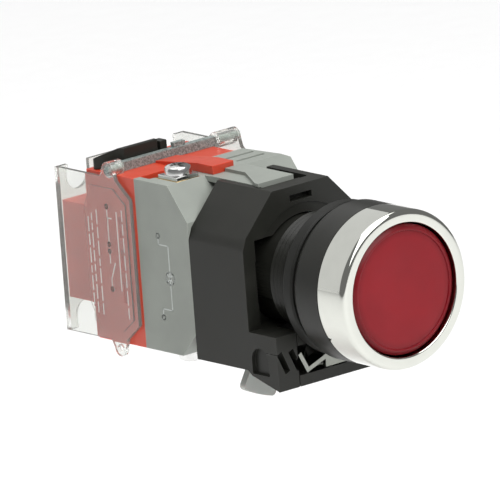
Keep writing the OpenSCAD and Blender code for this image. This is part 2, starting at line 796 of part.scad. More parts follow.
module contact_terminal_screws() {
    color([0.8, 0.8, 0.8]) mirrored_z() mirrored_x()
        translate([terminal_x, y_shoulder + strip_t + washer_t, terminal_z])
        rotate([-90, 0, 0]) screw(screw_r, 5, head_r, 1.4);
}

// ---- Cover and trim ----

module ear_strap() {
    color([0.55, 0.56, 0.56]) union() {
        block(strap_near_x, strap_far_x, strap_y, strap_y + strap_w, half_h, half_h + strap_h);
        block(0.4, 3, strap_y + 0.2, strap_y + strap_w - 0.2, half_h + strap_h - 0.1, half_h + strap_h + 0.9);
        rod_x(hinge_pin_r, -cover_out_x, strap_near_x + 0.1, hinge_y, hinge_z);
        rod_x(hinge_pin_r, strap_far_x - 0.1, cover_out_x, hinge_y, hinge_z);
    }
}

module terminal_barrier() {
    x0 = -half_w + 0.35;
    x1 = -0.1;
    y0 = strap_y + strap_w + 0.1;
    y1 = y0 + 4.4;
    top = half_h + 3.7;
    corner = 3.8;
    color([0.1, 0.1, 0.1]) difference() {
        slab(x0, x1, [[y0, half_h], [y0, top], [y0 + 0.8, top + 0.1], [y1, half_h + 2], [y1, half_h]]);
        // Near corner, the slot beside the last block and the room over it
        translate([x0, y0, half_h - bite]) linear_extrude(top)
            polygon([[-bite, -bite], [corner, -bite], [corner, 0], [0, corner], [-bite, corner]]);
        block(x1 - 2.2, x1 - 1.6, y0 - bite, y1 + bite, half_h + 0.8, top + bite);
        block(x1 - 2, x1 + bite, y0 - bite, y1 + bite, half_h + 3.2, top + bite);
    }
}

// Side wall of the cover with its raised panel and the web of its knuckle, on the -X side
module cover_side() {
    slope = 3.5;
    edge = 4.2;
    web = 2.2;
    slab(-cover_out_x, -cover_x, [[cover_front_y, -cover_top + slope], [cover_front_y, cover_top - slope],
        [cover_front_y + edge, cover_top], [cover_end_y, cover_top], [cover_end_y, -cover_top],
        [cover_front_y + edge, -cover_top]]);
    slab(-cover_out_x - panel_rise, -cover_out_x + 0.1, [
        [cover_front_y + 1, -cover_top + slope + 1], [cover_front_y + 1, cover_top - slope - 1],
        [cover_front_y + edge, cover_top - 1.9], [y_shoulder - 2, cover_top - 1.9], [y_shoulder, tail_z],
        [y_shoulder, -tail_z], [y_shoulder - 2, -cover_top + 1.9],
        [cover_front_y + edge, -cover_top + 1.9]]);
    mirrored_z() slab(-cover_out_x, -cover_x, [[hinge_y - web, cover_top - bite],
        [hinge_y - knuckle_r, hinge_z], [hinge_y + knuckle_r, hinge_z],
        [hinge_y + web + 0.6, cover_top - bite]]);
    rod_x(knuckle_r, -cover_out_x, -cover_x, hinge_y, -hinge_z);
}

// Notch for a screwdriver in the cover's rear wall; its round end is at the inner side
module driver_notch(x, z) {
    translate([x, 0, z]) rod(notch_w / 2, cover_rear_y - bite, cover_end_y + bite);
    block(x - notch_w / 2, x + notch_w / 2, cover_rear_y - bite, cover_end_y + bite, z, half_h);
}

module terminal_cover() {
    color([0.86, 0.88, 0.88, 0.35]) difference() {
        union() {
            mirrored_x() cover_side();
            rod_x(knuckle_r, -cover_out_x, strap_near_x - seat_gap, hinge_y, hinge_z);
            rod_x(knuckle_r, strap_far_x + seat_gap, cover_out_x, hinge_y, hinge_z);
            block(-cover_x - 0.1, cover_x + 0.1, cover_rear_y, cover_end_y, -cover_top, cover_top);
        }
        mirrored_z() rod_x(hinge_pin_r + run_gap, -cover_out_x - bite, cover_out_x + bite, hinge_y, hinge_z);
        mirrored_z() mirrored_x() driver_notch(terminal_x, terminal_z + 0.5);
    }
}

bezel_ring();
lens_cap();
diffuser_disc();
button_stem();
return_spring();
retaining_clip();
head_body();
panel_gasket();
mounting_collar();
lock_lever();
clamp_plate();
clamp_screw();
clamp_nut();
led_housing();
led_rear_plate();
led_board();
led_resistors();
led_capacitor();
lamp_holder();
led_lamp();
led_terminals();
led_clamp_washers();
led_terminal_screws();
transfer_fork();
contact_housing();
contact_front_plate();
contact_carrier();
carrier_spring();
closing_bridge();
opening_bridge();
closing_spring();
opening_spring();
closing_contacts();
opening_contacts();
contact_clamp_washers();
contact_terminal_screws();
ear_strap();
terminal_barrier();
terminal_cover();
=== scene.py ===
"""Finished meshes, materials, light and camera for an illuminated panel push button.

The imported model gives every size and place. Lengths here are in metres unless a name says
otherwise, the button faces -Y, +Y runs through the panel to the rear, and +Z is up.
"""

import json
import logging
import math
from dataclasses import dataclass, field
from enum import Enum

import bmesh
import bpy
from mathutils import Matrix, Vector

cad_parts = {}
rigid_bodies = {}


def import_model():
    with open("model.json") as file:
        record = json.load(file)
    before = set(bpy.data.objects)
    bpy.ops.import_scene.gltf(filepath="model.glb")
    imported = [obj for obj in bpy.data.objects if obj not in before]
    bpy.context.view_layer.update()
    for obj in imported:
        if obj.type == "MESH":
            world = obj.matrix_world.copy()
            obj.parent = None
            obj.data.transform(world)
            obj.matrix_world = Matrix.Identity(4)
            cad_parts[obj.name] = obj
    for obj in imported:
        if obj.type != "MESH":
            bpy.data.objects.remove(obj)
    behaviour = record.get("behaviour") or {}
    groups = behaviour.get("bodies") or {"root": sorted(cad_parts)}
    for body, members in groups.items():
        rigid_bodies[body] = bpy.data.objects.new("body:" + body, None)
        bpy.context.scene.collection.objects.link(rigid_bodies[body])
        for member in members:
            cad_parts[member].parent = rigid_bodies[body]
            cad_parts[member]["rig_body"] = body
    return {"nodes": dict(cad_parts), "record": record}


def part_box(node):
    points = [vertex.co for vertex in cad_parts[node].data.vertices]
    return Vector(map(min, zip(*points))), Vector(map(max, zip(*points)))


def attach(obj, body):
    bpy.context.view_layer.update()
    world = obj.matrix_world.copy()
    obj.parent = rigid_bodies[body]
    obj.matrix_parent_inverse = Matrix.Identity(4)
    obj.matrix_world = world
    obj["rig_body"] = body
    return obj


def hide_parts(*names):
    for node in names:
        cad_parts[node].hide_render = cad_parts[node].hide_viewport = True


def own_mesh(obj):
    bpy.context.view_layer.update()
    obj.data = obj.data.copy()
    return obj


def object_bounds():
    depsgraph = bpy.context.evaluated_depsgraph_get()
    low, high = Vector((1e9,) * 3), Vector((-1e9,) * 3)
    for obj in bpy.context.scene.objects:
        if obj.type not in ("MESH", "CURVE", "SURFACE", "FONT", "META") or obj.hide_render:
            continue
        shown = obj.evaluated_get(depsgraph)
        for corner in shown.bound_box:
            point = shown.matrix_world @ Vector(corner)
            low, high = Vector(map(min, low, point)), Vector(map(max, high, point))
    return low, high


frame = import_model()
CAD_BOX = [list(corner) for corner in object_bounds()]
SLOTS: dict[str, str] = {row["node"]: row["material_slot"] for row in frame["record"]["subparts"]}
MM = 0.001
# Millimetres
BUTTON_TRAVEL = 4.0
BRIDGE_TRAVEL = 2.4
WELD = 0.002
SENSOR = 36.0
# Faces that turn less than this many degrees are one
FLAT = 0.6
log = logging.getLogger("push_button")

Color = tuple[float, float, float]
Points = list[tuple[float, float]]


def mm(value: float) -> float:
    """Millimetres as metres.

    Args:
        value: A length in millimetres.

    Returns:
        The same length in metres.
    """
    return value * MM


def low(node: str) -> Vector:
    """Lowest corner of a CAD node's box.

    Args:
        node: The CAD node.

    Returns:
        The corner, in millimetres.
    """
    return Vector(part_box(node)[0]) / MM


def high(node: str) -> Vector:
    """Highest corner of a CAD node's box.

    Args:
        node: The CAD node.

    Returns:
        The corner, in millimetres.
    """
    return Vector(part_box(node)[1]) / MM


# ---- Meshes ----


def smooth_by_angle(mesh: bpy.types.Mesh, degrees: float) -> None:
    """Shade a mesh smooth, except at edges sharper than an angle.

    Args:
        mesh: The mesh to shade.
        degrees: Edges that turn more than this stay sharp.
    """
    mesh.shade_smooth()
    mesh.set_sharp_from_angle(angle=math.radians(degrees))


def finished(name: str, mesh: bpy.types.Mesh) -> bpy.types.Object:
    """A new object at the origin that holds a finished mesh.

    Args:
        name: The piece's name.
        mesh: Its mesh, in the row frame.

    Returns:
        The linked object.
    """
    piece = bpy.data.objects.new(name, mesh)
    bpy.context.scene.collection.objects.link(piece)
    return piece


def baked(piece: bpy.types.Object) -> bpy.types.Object:
    """Turn a piece's modifiers into plain mesh and remove them.

    Args:
        piece: An object with modifiers.

    Returns:
        The same object, with its evaluated mesh.
    """
    graph = bpy.context.evaluated_depsgraph_get()
    graph.update()
    mesh = bpy.data.meshes.new_from_object(piece.evaluated_get(graph))
    piece.modifiers.clear()
    piece.data = mesh
    return piece


def from_bmesh(name: str, work: bmesh.types.BMesh) -> bpy.types.Object:
    """Turn a bmesh with its faces outward into a finished piece.

    Args:
        name: The piece's name.
        work: The bmesh, which is freed.

    Returns:
        The piece.
    """
    bmesh.ops.recalc_face_normals(work, faces=work.faces)
    mesh = bpy.data.meshes.new(name)
    work.to_mesh(mesh)
    work.free()
    return finished(name, mesh)


def rounded(corners: list[tuple[float, float, float]], steps: int = 5) -> Points:
    """Round a polygon's corners with arcs.

    Args:
        corners: (a, b, radius) of each corner; a radius of 0 leaves it sharp.
        steps: Points on each arc, less one.

    Returns:
        The polygon's points.
    """
    points: Points = []
    count = len(corners)
    for i, (a, b, radius) in enumerate(corners):
        here = Vector((a, b))
        to_last = Vector(corners[i - 1][:2]) - here
        to_next = Vector(corners[(i + 1) % count][:2]) - here
        if radius <= 0 or to_last.length < 1e-9 or to_next.length < 1e-9:
            points.append((a, b))
            continue
        half = to_last.angle(to_next) / 2
        cut = min(radius / math.tan(half), to_last.length * 0.48, to_next.length * 0.48)
        start, end = here + to_last.normalized() * cut, here + to_next.normalized() * cut
        for step in range(steps + 1):
            t = step / steps
            point = start * (1 - t) ** 2 + here * 2 * t * (1 - t) + end * t**2
            points.append((point.x, point.y))
    return points


def spun(name: str, profile: Points, segments: int = 144) -> bpy.types.Object:
    """A solid turned about the Y axis.

    Args:
        name: The piece's name.
        profile: (radius, y) in millimetres round the solid's section.
        segments: Faces round the axis.

    Returns:
        The piece.
    """
    work = bmesh.new()
    rings = []
    for radius, y in profile:
        if radius < 1e-6:
            rings.append([work.verts.new((0, mm(y), 0))])
            continue
        turn = [2 * math.pi * k / segments for k in range(segments)]
        reach = mm(radius)
        rings.append([work.verts.new((reach * math.cos(a), mm(y), reach * math.sin(a))) for a in turn])
    for ring, other in zip(rings, rings[1:] + rings[:1]):
        if len(ring) == 1 and len(other) == 1:
            continue
        for k in range(segments):
            n = (k + 1) % segments
            corners = [ring[k % len(ring)], ring[n % len(ring)], other[n % len(other)], other[k % len(other)]]
            work.faces.new(list(dict.fromkeys(corners)))
    piece = from_bmesh(name, work)
    smooth_by_angle(piece.data, 28)
    return piece


@dataclass(frozen=True)
class Skin:
    """A finer copy of a CAD node: merged, cleaned, with rounded edges.

    Attributes:
        radius: Radius of the rounded edges, in millimetres.
        segments: Faces across a rounded edge.
        sharp: Edges that turn more than this many degrees are rounded.
        corner: Radius given to the corners of an outline that is seen along Y, in millimetres.
        beyond: Only corners further than this from the Y axis get it, in millimetres.
    """

    radius: float = 0.2
    segments: int = 3
    sharp: float = 32.0
    corner: float = 0.0
    beyond: float = 0.0

    def of(self, node: str, name: str) -> bpy.types.Object:
        """Make the finer copy.

        Args:
            node: The CAD node to copy.
            name: The new piece's name.

        Returns:
            The piece, riding on the node's body and standing for the node.
        """
        source = frame["nodes"][node]
        work = bmesh.new()
        work.from_mesh(source.data)
        bmesh.ops.remove_doubles(work, verts=work.verts, dist=mm(WELD))
        bmesh.ops.dissolve_limit(
            work, angle_limit=math.radians(FLAT), verts=work.verts, edges=work.edges, delimit={"NORMAL"}
        )
        if self.corner > 0:
            self._round_corners(work)
        piece = from_bmesh(name, work)
        if self.radius > 0:
            bevel = piece.modifiers.new("round_edges", "BEVEL")
            bevel.width = mm(self.radius)
            bevel.segments = self.segments
            bevel.limit_method = "ANGLE"
            bevel.angle_limit = math.radians(self.sharp)
            bevel.use_clamp_overlap = True
            bevel.miter_outer = "MITER_ARC"
            baked(piece)
        smooth_by_angle(piece.data, self.sharp)
        even = piece.modifiers.new("even_normals", "WEIGHTED_NORMAL")
        even.keep_sharp = True
        even.weight = 90
        baked(piece)
        return stands_for(piece, node)

    def _round_corners(self, work: bmesh.types.BMesh) -> None:
        """Round the far corners of an outline.

        Args:
            work: The mesh, which is changed.
        """
        picked = []
        for edge in work.edges:
            ends = [vert.co for vert in edge.verts]
            run = (ends[1] - ends[0]).normalized()
            is_far = all(math.hypot(end.x, end.z) > mm(self.beyond) for end in ends)
            if abs(run.y) > 0.99 and is_far and edge.calc_face_angle(0) > math.radians(40):
                picked.append(edge)
        bmesh.ops.bevel(
            work, geom=picked, offset=mm(self.corner), segments=8, profile=0.5, affect="EDGES",
            clamp_overlap=True,
        )


def stands_for(piece: bpy.types.Object, *nodes: str) -> bpy.types.Object:
    """Let a piece replace CAD nodes and ride on the first one's body.

    Args:
        piece: The new piece.
        nodes: The CAD nodes that it stands for.

    Returns:
        The piece.
    """
    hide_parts(*nodes)
    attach(piece, frame["nodes"][nodes[0]]["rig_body"])
    log.info("%s stands for %s", piece.name, ", ".join(nodes))
    return piece


# ---- Node trees ----


class Tree:
    """Short words for laying out a shader or geometry node tree."""

    def __init__(self, tree: bpy.types.NodeTree) -> None:
        """Hold the tree to add to.

        Args:
            tree: A shader or geometry node tree.
        """
        self.tree = tree

    def add(self, kind: str, settings: dict | None = None, **inputs: object) -> bpy.types.Node:
        """Add a node.

        Args:
            kind: The node's type name.
            settings: Properties to set on it.
            inputs: Values or output sockets by input name, with _ for a space, or in0, in1 by place.

        Returns:
            The node.
        """
        node = self.tree.nodes.new(kind)
        for key, value in (settings or {}).items():
            setattr(node, key, value)
        for key, value in inputs.items():
            is_place = key.startswith("in") and key[2:].isdigit()
            socket = node.inputs[int(key[2:])] if is_place else node.inputs[key.replace("_", " ")]
            if isinstance(value, bpy.types.NodeSocket):
                self.tree.links.new(value, socket)
            else:
                socket.default_value = value
        return node

    def math(self, operation: str, *values: object) -> bpy.types.NodeSocket:
        """Add a Math node.

        Args:
            operation: What it does.
            values: Numbers or output sockets, in order.

        Returns:
            Its output.
        """
        inputs = {f"in{i}": v for i, v in enumerate(values)}
        return self.add("ShaderNodeMath", {"operation": operation}, **inputs).outputs[0]

    def ramp(
        self, value: bpy.types.NodeSocket, start: float, end: float, low_v: float, high_v: float
    ) -> bpy.types.NodeSocket:
        """Map a value from one range to another, clamped.

        Args:
            value: The value.
            start: Where the value's range starts.
            end: Where the value's range ends.
            low_v: Result at the start.
            high_v: Result at the end.

        Returns:
            The output.
        """
        node = self.add("ShaderNodeMapRange", {"clamp": True}, Value=value, From_Min=start, From_Max=end)
        node.inputs["To Min"].default_value = low_v
        node.inputs["To Max"].default_value = high_v
        return node.outputs[0]

    def mix(self, factor: object, first: object, second: object) -> bpy.types.NodeSocket:
        """Mix two colours.

        Args:
            factor: Share of the second colour, as a number or a socket.
            first: A colour or a socket.
            second: A colour or a socket.

        Returns:
            The output.
        """
        node = self.add("ShaderNodeMix", {"data_type": "RGBA"})
        for socket, value in zip((node.inputs[0], node.inputs[6], node.inputs[7]), (factor, first, second)):
            if isinstance(value, bpy.types.NodeSocket):
                self.tree.links.new(value, socket)
            else:
                socket.default_value = (*value, 1.0) if isinstance(value, tuple) else value
        return node.outputs[2]

    def link(self, value: bpy.types.NodeSocket, socket: bpy.types.NodeSocket) -> None:
        """Join an output to an input.

        Args:
            value: The output.
            socket: The input.
        """
        self.tree.links.new(value, socket)

    def vector(self, **axes: object) -> bpy.types.NodeSocket:
        """Join numbers into a vector.

        Args:
            axes: Numbers or sockets by axis letter; the others are 0.

        Returns:
            The output.
        """
        return self.add("ShaderNodeCombineXYZ", **axes).outputs[0]

    def bump(
        self, shader: bpy.types.Node, strength: float, depth: float, height: bpy.types.NodeSocket
    ) -> None:
        """Give a shader a raised surface.

        Args:
            shader: The Principled node.
            strength: How strong the effect is, from 0 to 1.
            depth: Height of the relief, in millimetres.
            height: The relief.
        """
        node = self.add("ShaderNodeBump", Strength=strength, Distance=mm(depth), Height=height)
        self.link(node.outputs[0], shader.inputs["Normal"])


class Effect(Enum):
    """Surface effects that several materials share."""

    GRAIN = "moulded_grain"
    MARKS = "handling_marks"
    FLAKES = "crystal_flakes"
    # Edges painted paler: a painted highlight along them
    EDGES = "rubbed_edges"


class Effects:
    """The shared effects as shader node groups, each built once."""

    def __init__(self) -> None:
        """Build all groups."""
        self.groups = {
            Effect.GRAIN: self._grain(),
            Effect.MARKS: self._marks(),
            Effect.FLAKES: self._flakes(),
            Effect.EDGES: self._edges(),
        }

    @staticmethod
    def _start(
        effect: Effect, inputs: dict[str, float], outputs: tuple[str, ...]
    ) -> tuple[Tree, bpy.types.bpy_prop_collection, bpy.types.Node]:
        """Make an empty group with its sockets.

        Args:
            effect: The effect, which names the group.
            inputs: Default of each named value input.
            outputs: Names of the value outputs.

        Returns:
            The tree, its input sockets and its output node.
        """
        group = bpy.data.node_groups.new(effect.value, "ShaderNodeTree")
        group.interface.new_socket("Vector", in_out="INPUT", socket_type="NodeSocketVector")
        for name, value in inputs.items():
            socket = group.interface.new_socket(name, in_out="INPUT", socket_type="NodeSocketFloat")
            socket.default_value = value
        for name in outputs:
            group.interface.new_socket(name, in_out="OUTPUT", socket_type="NodeSocketFloat")
        tree = Tree(group)
        return tree, tree.add("NodeGroupInput").outputs, tree.add("NodeGroupOutput")

    def _grain(self) -> bpy.types.NodeTree:
        """Fine grain of a moulded or cast surface, and soft tone over larger areas.

        Returns:
            The group.
        """
        sizes = {"Scale": 9000.0, "Tone Scale": 160.0}
        tree, given, out = self._start(Effect.GRAIN, sizes, ("Height", "Tone"))
        fine = tree.add("ShaderNodeTexNoise", Vector=given["Vector"], Scale=given["Scale"], Detail=3.0)
        soft = tree.add("ShaderNodeTexNoise", Vector=given["Vector"], Scale=given["Tone Scale"], Detail=2.0)
        tree.link(fine.outputs[0], out.inputs["Height"])
        tree.link(tree.ramp(soft.outputs[0], 0.35, 0.65, 0.0, 1.0), out.inputs["Tone"])
        return tree.tree

    def _marks(self) -> bpy.types.NodeTree:
        """Thin rubbed lines and soft smears left by handling.

        Returns:
            The group.
        """
        tree, given, out = self._start(Effect.MARKS, {"Scale": 500.0, "Amount": 0.5}, ("Mask",))
        turned = tree.add(
            "ShaderNodeMapping", Vector=given["Vector"], Rotation=(0.3, 0.5, 0.2), Scale=(1, 7, 2)
        )
        lines = tree.add("ShaderNodeTexNoise", Vector=turned.outputs[0], Scale=given["Scale"], Detail=4.0)
        wide_scale = tree.math("MULTIPLY", given["Scale"], 0.3)
        smear = tree.add("ShaderNodeTexNoise", Vector=given["Vector"], Scale=wide_scale)
        thin = tree.ramp(lines.outputs[0], 0.6, 0.75, 0.0, 1.0)
        wide = tree.ramp(smear.outputs[0], 0.45, 0.7, 0.0, 1.0)
        both = tree.math("ADD", tree.math("MULTIPLY", thin, 0.5), tree.math("MULTIPLY", wide, 0.5))
        tree.link(tree.math("MULTIPLY", both, given["Amount"]), out.inputs["Mask"])
        return tree.tree

    def _flakes(self) -> bpy.types.NodeTree:
        """Small crystals of a zinc coat: each cell has its own tone.

        Returns:
            The group.
        """
        tree, given, out = self._start(Effect.FLAKES, {"Scale": 3500.0}, ("Tone", "Height"))
        cells = tree.add("ShaderNodeTexVoronoi", Vector=given["Vector"], Scale=given["Scale"])
        split = tree.add("ShaderNodeSeparateColor", Color=cells.outputs["Color"])
        fine = tree.add("ShaderNodeTexNoise", Vector=given["Vector"], Scale=given["Scale"], Detail=2.0)
        cell_tone = tree.math("MULTIPLY", split.outputs[0], 0.6)
        tone = tree.math("ADD", cell_tone, tree.math("MULTIPLY", fine.outputs[0], 0.4))
        tree.link(tone, out.inputs["Tone"])
        tree.link(cells.outputs["Distance"], out.inputs["Height"])
        return tree.tree

    def _edges(self) -> bpy.types.NodeTree:
        """Painted highlight: edges painted paler, as where light catches them, broken up a little along their
        length.

        Returns:
            The group.
        """
        tree, given, out = self._start(Effect.EDGES, {"Amount": 0.5, "Scale": 700.0}, ("Mask",))
        # Where the rounded normal turns from the face's own normal, the colour is painted paler as a highlight
        shape = tree.add("ShaderNodeNewGeometry")
        soft = tree.add("ShaderNodeBevel", {"samples": 6}, Radius=mm(0.3))
        turn = tree.add(
            "ShaderNodeVectorMath", {"operation": "DOT_PRODUCT"}, in0=soft.outputs[0],
            in1=shape.outputs["Normal"],
        )
        edge = tree.ramp(turn.outputs["Value"], 0.98, 0.8, 0.0, 1.0)
        rough = tree.add("ShaderNodeTexNoise", Vector=given["Vector"], Scale=given["Scale"], Detail=2.0)
        broken = tree.math("MULTIPLY", edge, tree.ramp(rough.outputs[0], 0.3, 0.6, 0.4, 1.0))
        tree.link(tree.math("MULTIPLY", broken, given["Amount"]), out.inputs["Mask"])
        return tree.tree

    def use(self, tree: Tree, effect: Effect, **inputs: object) -> bpy.types.Node:
        """Place an effect in a material.

        Args:
            tree: The material's tree.
            effect: Which effect.
            inputs: Its input values by name.

        Returns:
            The group node.
        """
        return tree.add("ShaderNodeGroup", {"node_tree": self.groups[effect]}, **inputs)


# ---- Finishes ----


@dataclass(frozen=True)
class Finish:
    """What every finish has: its name and its base colour.

    Attributes:
        name: The material's name.
        color: Linear base colour.
    """

    name: str
    color: Color

    def start(self) -> tuple[bpy.types.Material, Tree, bpy.types.Node, bpy.types.NodeSocket]:
        """Make the material.

        Returns:
            The material, its tree, its Principled node and the Object coordinates.
        """
        material = bpy.data.materials.new(self.name)
        material.use_nodes = True
        tree = Tree(material.node_tree)
        shader = material.node_tree.nodes["Principled BSDF"]
        place = tree.add("ShaderNodeTexCoord").outputs["Object"]
        return material, tree, shader, place

    def build(self, effects: Effects) -> bpy.types.Material:
        """Make the material; each finish has its own way.

        Args:
            effects: The shared node groups.

        Returns:
            The material.
        """
        raise NotImplementedError


@dataclass(frozen=True)
class Moulded(Finish):
    """A moulded plastic or rubber with fine grain.

    Attributes:
        other: The colour that soft tones and marks lean to.
        roughness: Lowest and highest roughness.
        grain: Scale of the grain.
        depth: Height of the grain, in millimetres.
        marks: Amount of handling marks.
        coat: Weight of the clear gloss on top.
        glow: Subsurface weight, for a plastic that light enters.
        shine: Specular level.
        rub: How much paler the edges are painted, as a painted highlight.
    """

    other: Color
    roughness: tuple[float, float] = (0.35, 0.5)
    grain: float = 7000.0
    depth: float = 0.006
    marks: float = 0.4
    coat: float = 0.0
    glow: float = 0.0
    shine: float = 0.5
    rub: float = 0.5

    def build(self, effects: Effects) -> bpy.types.Material:
        """Make the material.

        Args:
            effects: The shared node groups.

        Returns:
            The material.
        """
        material, tree, shader, place = self.start()
        grain = effects.use(tree, Effect.GRAIN, Vector=place, Scale=self.grain)
        marks = effects.use(tree, Effect.MARKS, Vector=place, Scale=600.0, Amount=self.marks)
        tone = tree.math("MULTIPLY", grain.outputs["Tone"], 0.5)
        tone = tree.math("ADD", tone, tree.math("MULTIPLY", marks.outputs["Mask"], 0.5))
        # Painted highlight: the edges are painted paler, as where light catches them
        edges = effects.use(tree, Effect.EDGES, Vector=place, Amount=self.rub)
        edge_highlight_color = tuple(min(1.0, channel * 1.6 + 0.03) for channel in self.color)
        toned = tree.mix(tone, self.color, self.other)
        tree.link(tree.mix(edges.outputs["Mask"], toned, edge_highlight_color), shader.inputs["Base Color"])
        rough = tree.ramp(
            tree.math("ADD", grain.outputs["Tone"], marks.outputs["Mask"]), 0.0, 1.4, *self.roughness
        )
        tree.link(rough, shader.inputs["Roughness"])
        tree.bump(shader, 0.6, self.depth, grain.outputs["Height"])
        shader.inputs["Specular IOR Level"].default_value = self.shine
        shader.inputs["Coat Weight"].default_value = self.coat
        shader.inputs["Coat Roughness"].default_value = 0.15
        if self.glow:
            shader.inputs["Subsurface Weight"].default_value = self.glow
            shader.inputs["Subsurface Radius"].default_value = (1.0, 0.25, 0.2)
            shader.inputs["Subsurface Scale"].default_value = mm(1.2)
        return material


@dataclass(frozen=True)
class Metal(Finish):
    """A bare or plated metal.

    Attributes:
        other: The colour that marks lean to.
        roughness: Lowest and highest roughness.
        marks: Amount of handling marks.
        grain: Scale of the fine surface grain.
        depth: Height of the grain, in millimetres.
    """

    other: Color
    roughness: tuple[float, float] = (0.2, 0.35)
    marks: float = 0.6
    grain: float = 9000.0
    depth: float = 0.003

    def build(self, effects: Effects) -> bpy.types.Material:
        """Make the material.

        Args:
            effects: The shared node groups.

        Returns:
            The material.
        """
        material, tree, shader, place = self.start()
        shader.inputs["Metallic"].default_value = 1.0
        grain = effects.use(tree, Effect.GRAIN, Vector=place, Scale=self.grain, Tone_Scale=300.0)
        marks = effects.use(tree, Effect.MARKS, Vector=place, Scale=900.0, Amount=self.marks)
        tree.link(tree.mix(marks.outputs["Mask"], self.color, self.other), shader.inputs["Base Color"])
        rough = tree.ramp(
            tree.math("ADD", grain.outputs["Tone"], marks.outputs["Mask"]), 0.0, 1.5, *self.roughness
        )
        tree.link(rough, shader.inputs["Roughness"])
        tree.bump(shader, 0.4, self.depth, grain.outputs["Height"])
        return material


@dataclass(frozen=True)
class Galvanised(Finish):
    """Zinc coated sheet with a close, speckled grain.

    Attributes:
        dark: Colour of the dark crystals.
        light: Colour of the light crystals.
    """

    dark: Color
    light: Color

    def build(self, effects: Effects) -> bpy.types.Material:
        """Make the material.

        Args:
            effects: The shared node groups.

        Returns:
            The material.
        """
        material, tree, shader, place = self.start()
        flakes = effects.use(tree, Effect.FLAKES, Vector=place, Scale=4200.0)
        tone = tree.ramp(flakes.outputs["Tone"], 0.25, 0.75, 0.0, 1.0)
        first = tree.mix(tone, self.dark, self.light)
        marks = effects.use(tree, Effect.MARKS, Vector=place, Scale=700.0, Amount=0.5)
        tree.link(tree.mix(marks.outputs["Mask"], first, self.color), shader.inputs["Base Color"])
        tree.link(tree.ramp(tone, 0.0, 1.0, 0.55, 0.38), shader.inputs["Roughness"])
        shader.inputs["Metallic"].default_value = 0.15
        tree.bump(shader, 0.5, 0.03, flakes.outputs["Tone"])
        return material


@dataclass(frozen=True)
class StainedLens(Finish):
    """Red translucent lens with painted shade that darkens it towards its rim, and a satin front.

    Attributes:
        rim: Colour near the rim, where the painted shade is darkest.
        radius: Radius of the lens, in metres.
    """

    rim: Color
    radius: float

    def build(self, effects: Effects) -> bpy.types.Material:
        """Make the material.

        Args:
            effects: The shared node groups.

        Returns:
            The material.
        """
        material, tree, shader, place = self.start()
        split = tree.add("ShaderNodeSeparateXYZ", Vector=place)
        flat = tree.add("ShaderNodeCombineXYZ", X=split.outputs[0], Z=split.outputs[2])
        out = tree.add("ShaderNodeVectorMath", {"operation": "LENGTH"}, in0=flat.outputs[0])
        # Painted shade: the colour darkens from the middle out to the rim
        share = tree.ramp(out.outputs["Value"], self.radius * 0.8, self.radius, 0.0, 1.0)
        grain = effects.use(tree, Effect.GRAIN, Vector=place, Scale=5000.0, Tone_Scale=140.0)
        rim_shade = tree.math("MULTIPLY", share, 0.8)
        tone = tree.math("ADD", rim_shade, tree.math("MULTIPLY", grain.outputs["Tone"], 0.2))
        tree.link(tree.mix(tone, self.color, self.rim), shader.inputs["Base Color"])
        marks = effects.use(tree, Effect.MARKS, Vector=place, Scale=400.0, Amount=0.6)
        tree.link(tree.ramp(marks.outputs["Mask"], 0.0, 0.6, 0.3, 0.42), shader.inputs["Roughness"])
        tree.bump(shader, 0.3, 0.004, grain.outputs["Height"])
        shader.inputs["Subsurface Weight"].default_value = 0.35
        shader.inputs["Subsurface Radius"].default_value = (1.0, 0.1, 0.1)
        shader.inputs["Subsurface Scale"].default_value = mm(0.8)
        shader.inputs["Specular IOR Level"].default_value = 0.22
        return material


@dataclass(frozen=True)
class ClearMoulding(Finish):
    """Clear, slightly milky plastic that lets lamps through.

    Attributes:
        haze: Share of the plastic that is not clear.
    """

    haze: float = 0.08

    def build(self, effects: Effects) -> bpy.types.Material:
        """Make the material.

        Args:
            effects: The shared node groups.

        Returns:
            The material.
        """
        material, tree, shader, place = self.start()
        marks = effects.use(tree, Effect.MARKS, Vector=place, Scale=350.0, Amount=1.0)
        grain = effects.use(tree, Effect.GRAIN, Vector=place, Scale=1200.0, Tone_Scale=90.0)
        milky = tuple(0.9 * channel for channel in self.color)
        tree.link(tree.mix(marks.outputs["Mask"], self.color, milky), shader.inputs["Base Color"])
        tree.link(tree.ramp(marks.outputs["Mask"], 0.0, 1.0, 0.03, 0.12), shader.inputs["Roughness"])
        tree.bump(shader, 0.25, 0.02, grain.outputs["Tone"])
        shader.inputs["Transmission Weight"].default_value = 1.0 - self.haze
        shader.inputs["IOR"].default_value = 1.46
        clear = tree.add("ShaderNodeBsdfTransparent", Color=(*self.color, 1.0))
        rays = tree.add("ShaderNodeLightPath")
        both = tree.add(
            "ShaderNodeMixShader", in0=rays.outputs["Is Shadow Ray"], in1=shader.outputs[0],
            in2=clear.outputs[0],
        )
        target = material.node_tree.nodes["Material Output"]
        tree.link(both.outputs[0], target.inputs["Surface"])
        return material


@dataclass(frozen=True)
class CircuitBoard(Finish):
    """Solder mask with copper tracks under it.

    Attributes:
        track: Colour over the copper tracks.
    """

    track: Color

    def build(self, effects: Effects) -> bpy.types.Material:
        """Make the material.

        Args:
            effects: The shared node groups.

        Returns:
            The material.
        """
        material, tree, shader, place = self.start()
        turned = tree.add("ShaderNodeMapping", Vector=place, Rotation=(math.pi / 2, 0, 0))
        tracks = tree.add(
            "ShaderNodeTexBrick", Vector=turned.outputs[0], Scale=260.0, Mortar_Size=0.09,
            Color1=(0, 0, 0, 1), Color2=(0, 0, 0, 1), Mortar=(1, 1, 1, 1),
        )
        tree.link(tree.mix(tracks.outputs["Fac"], self.color, self.track), shader.inputs["Base Color"])
        grain = effects.use(tree, Effect.GRAIN, Vector=place, Scale=4000.0)
        tree.link(tree.ramp(grain.outputs["Tone"], 0.0, 1.0, 0.25, 0.4), shader.inputs["Roughness"])
        tree.bump(shader, 0.5, 0.03, tracks.outputs["Fac"])
        return material


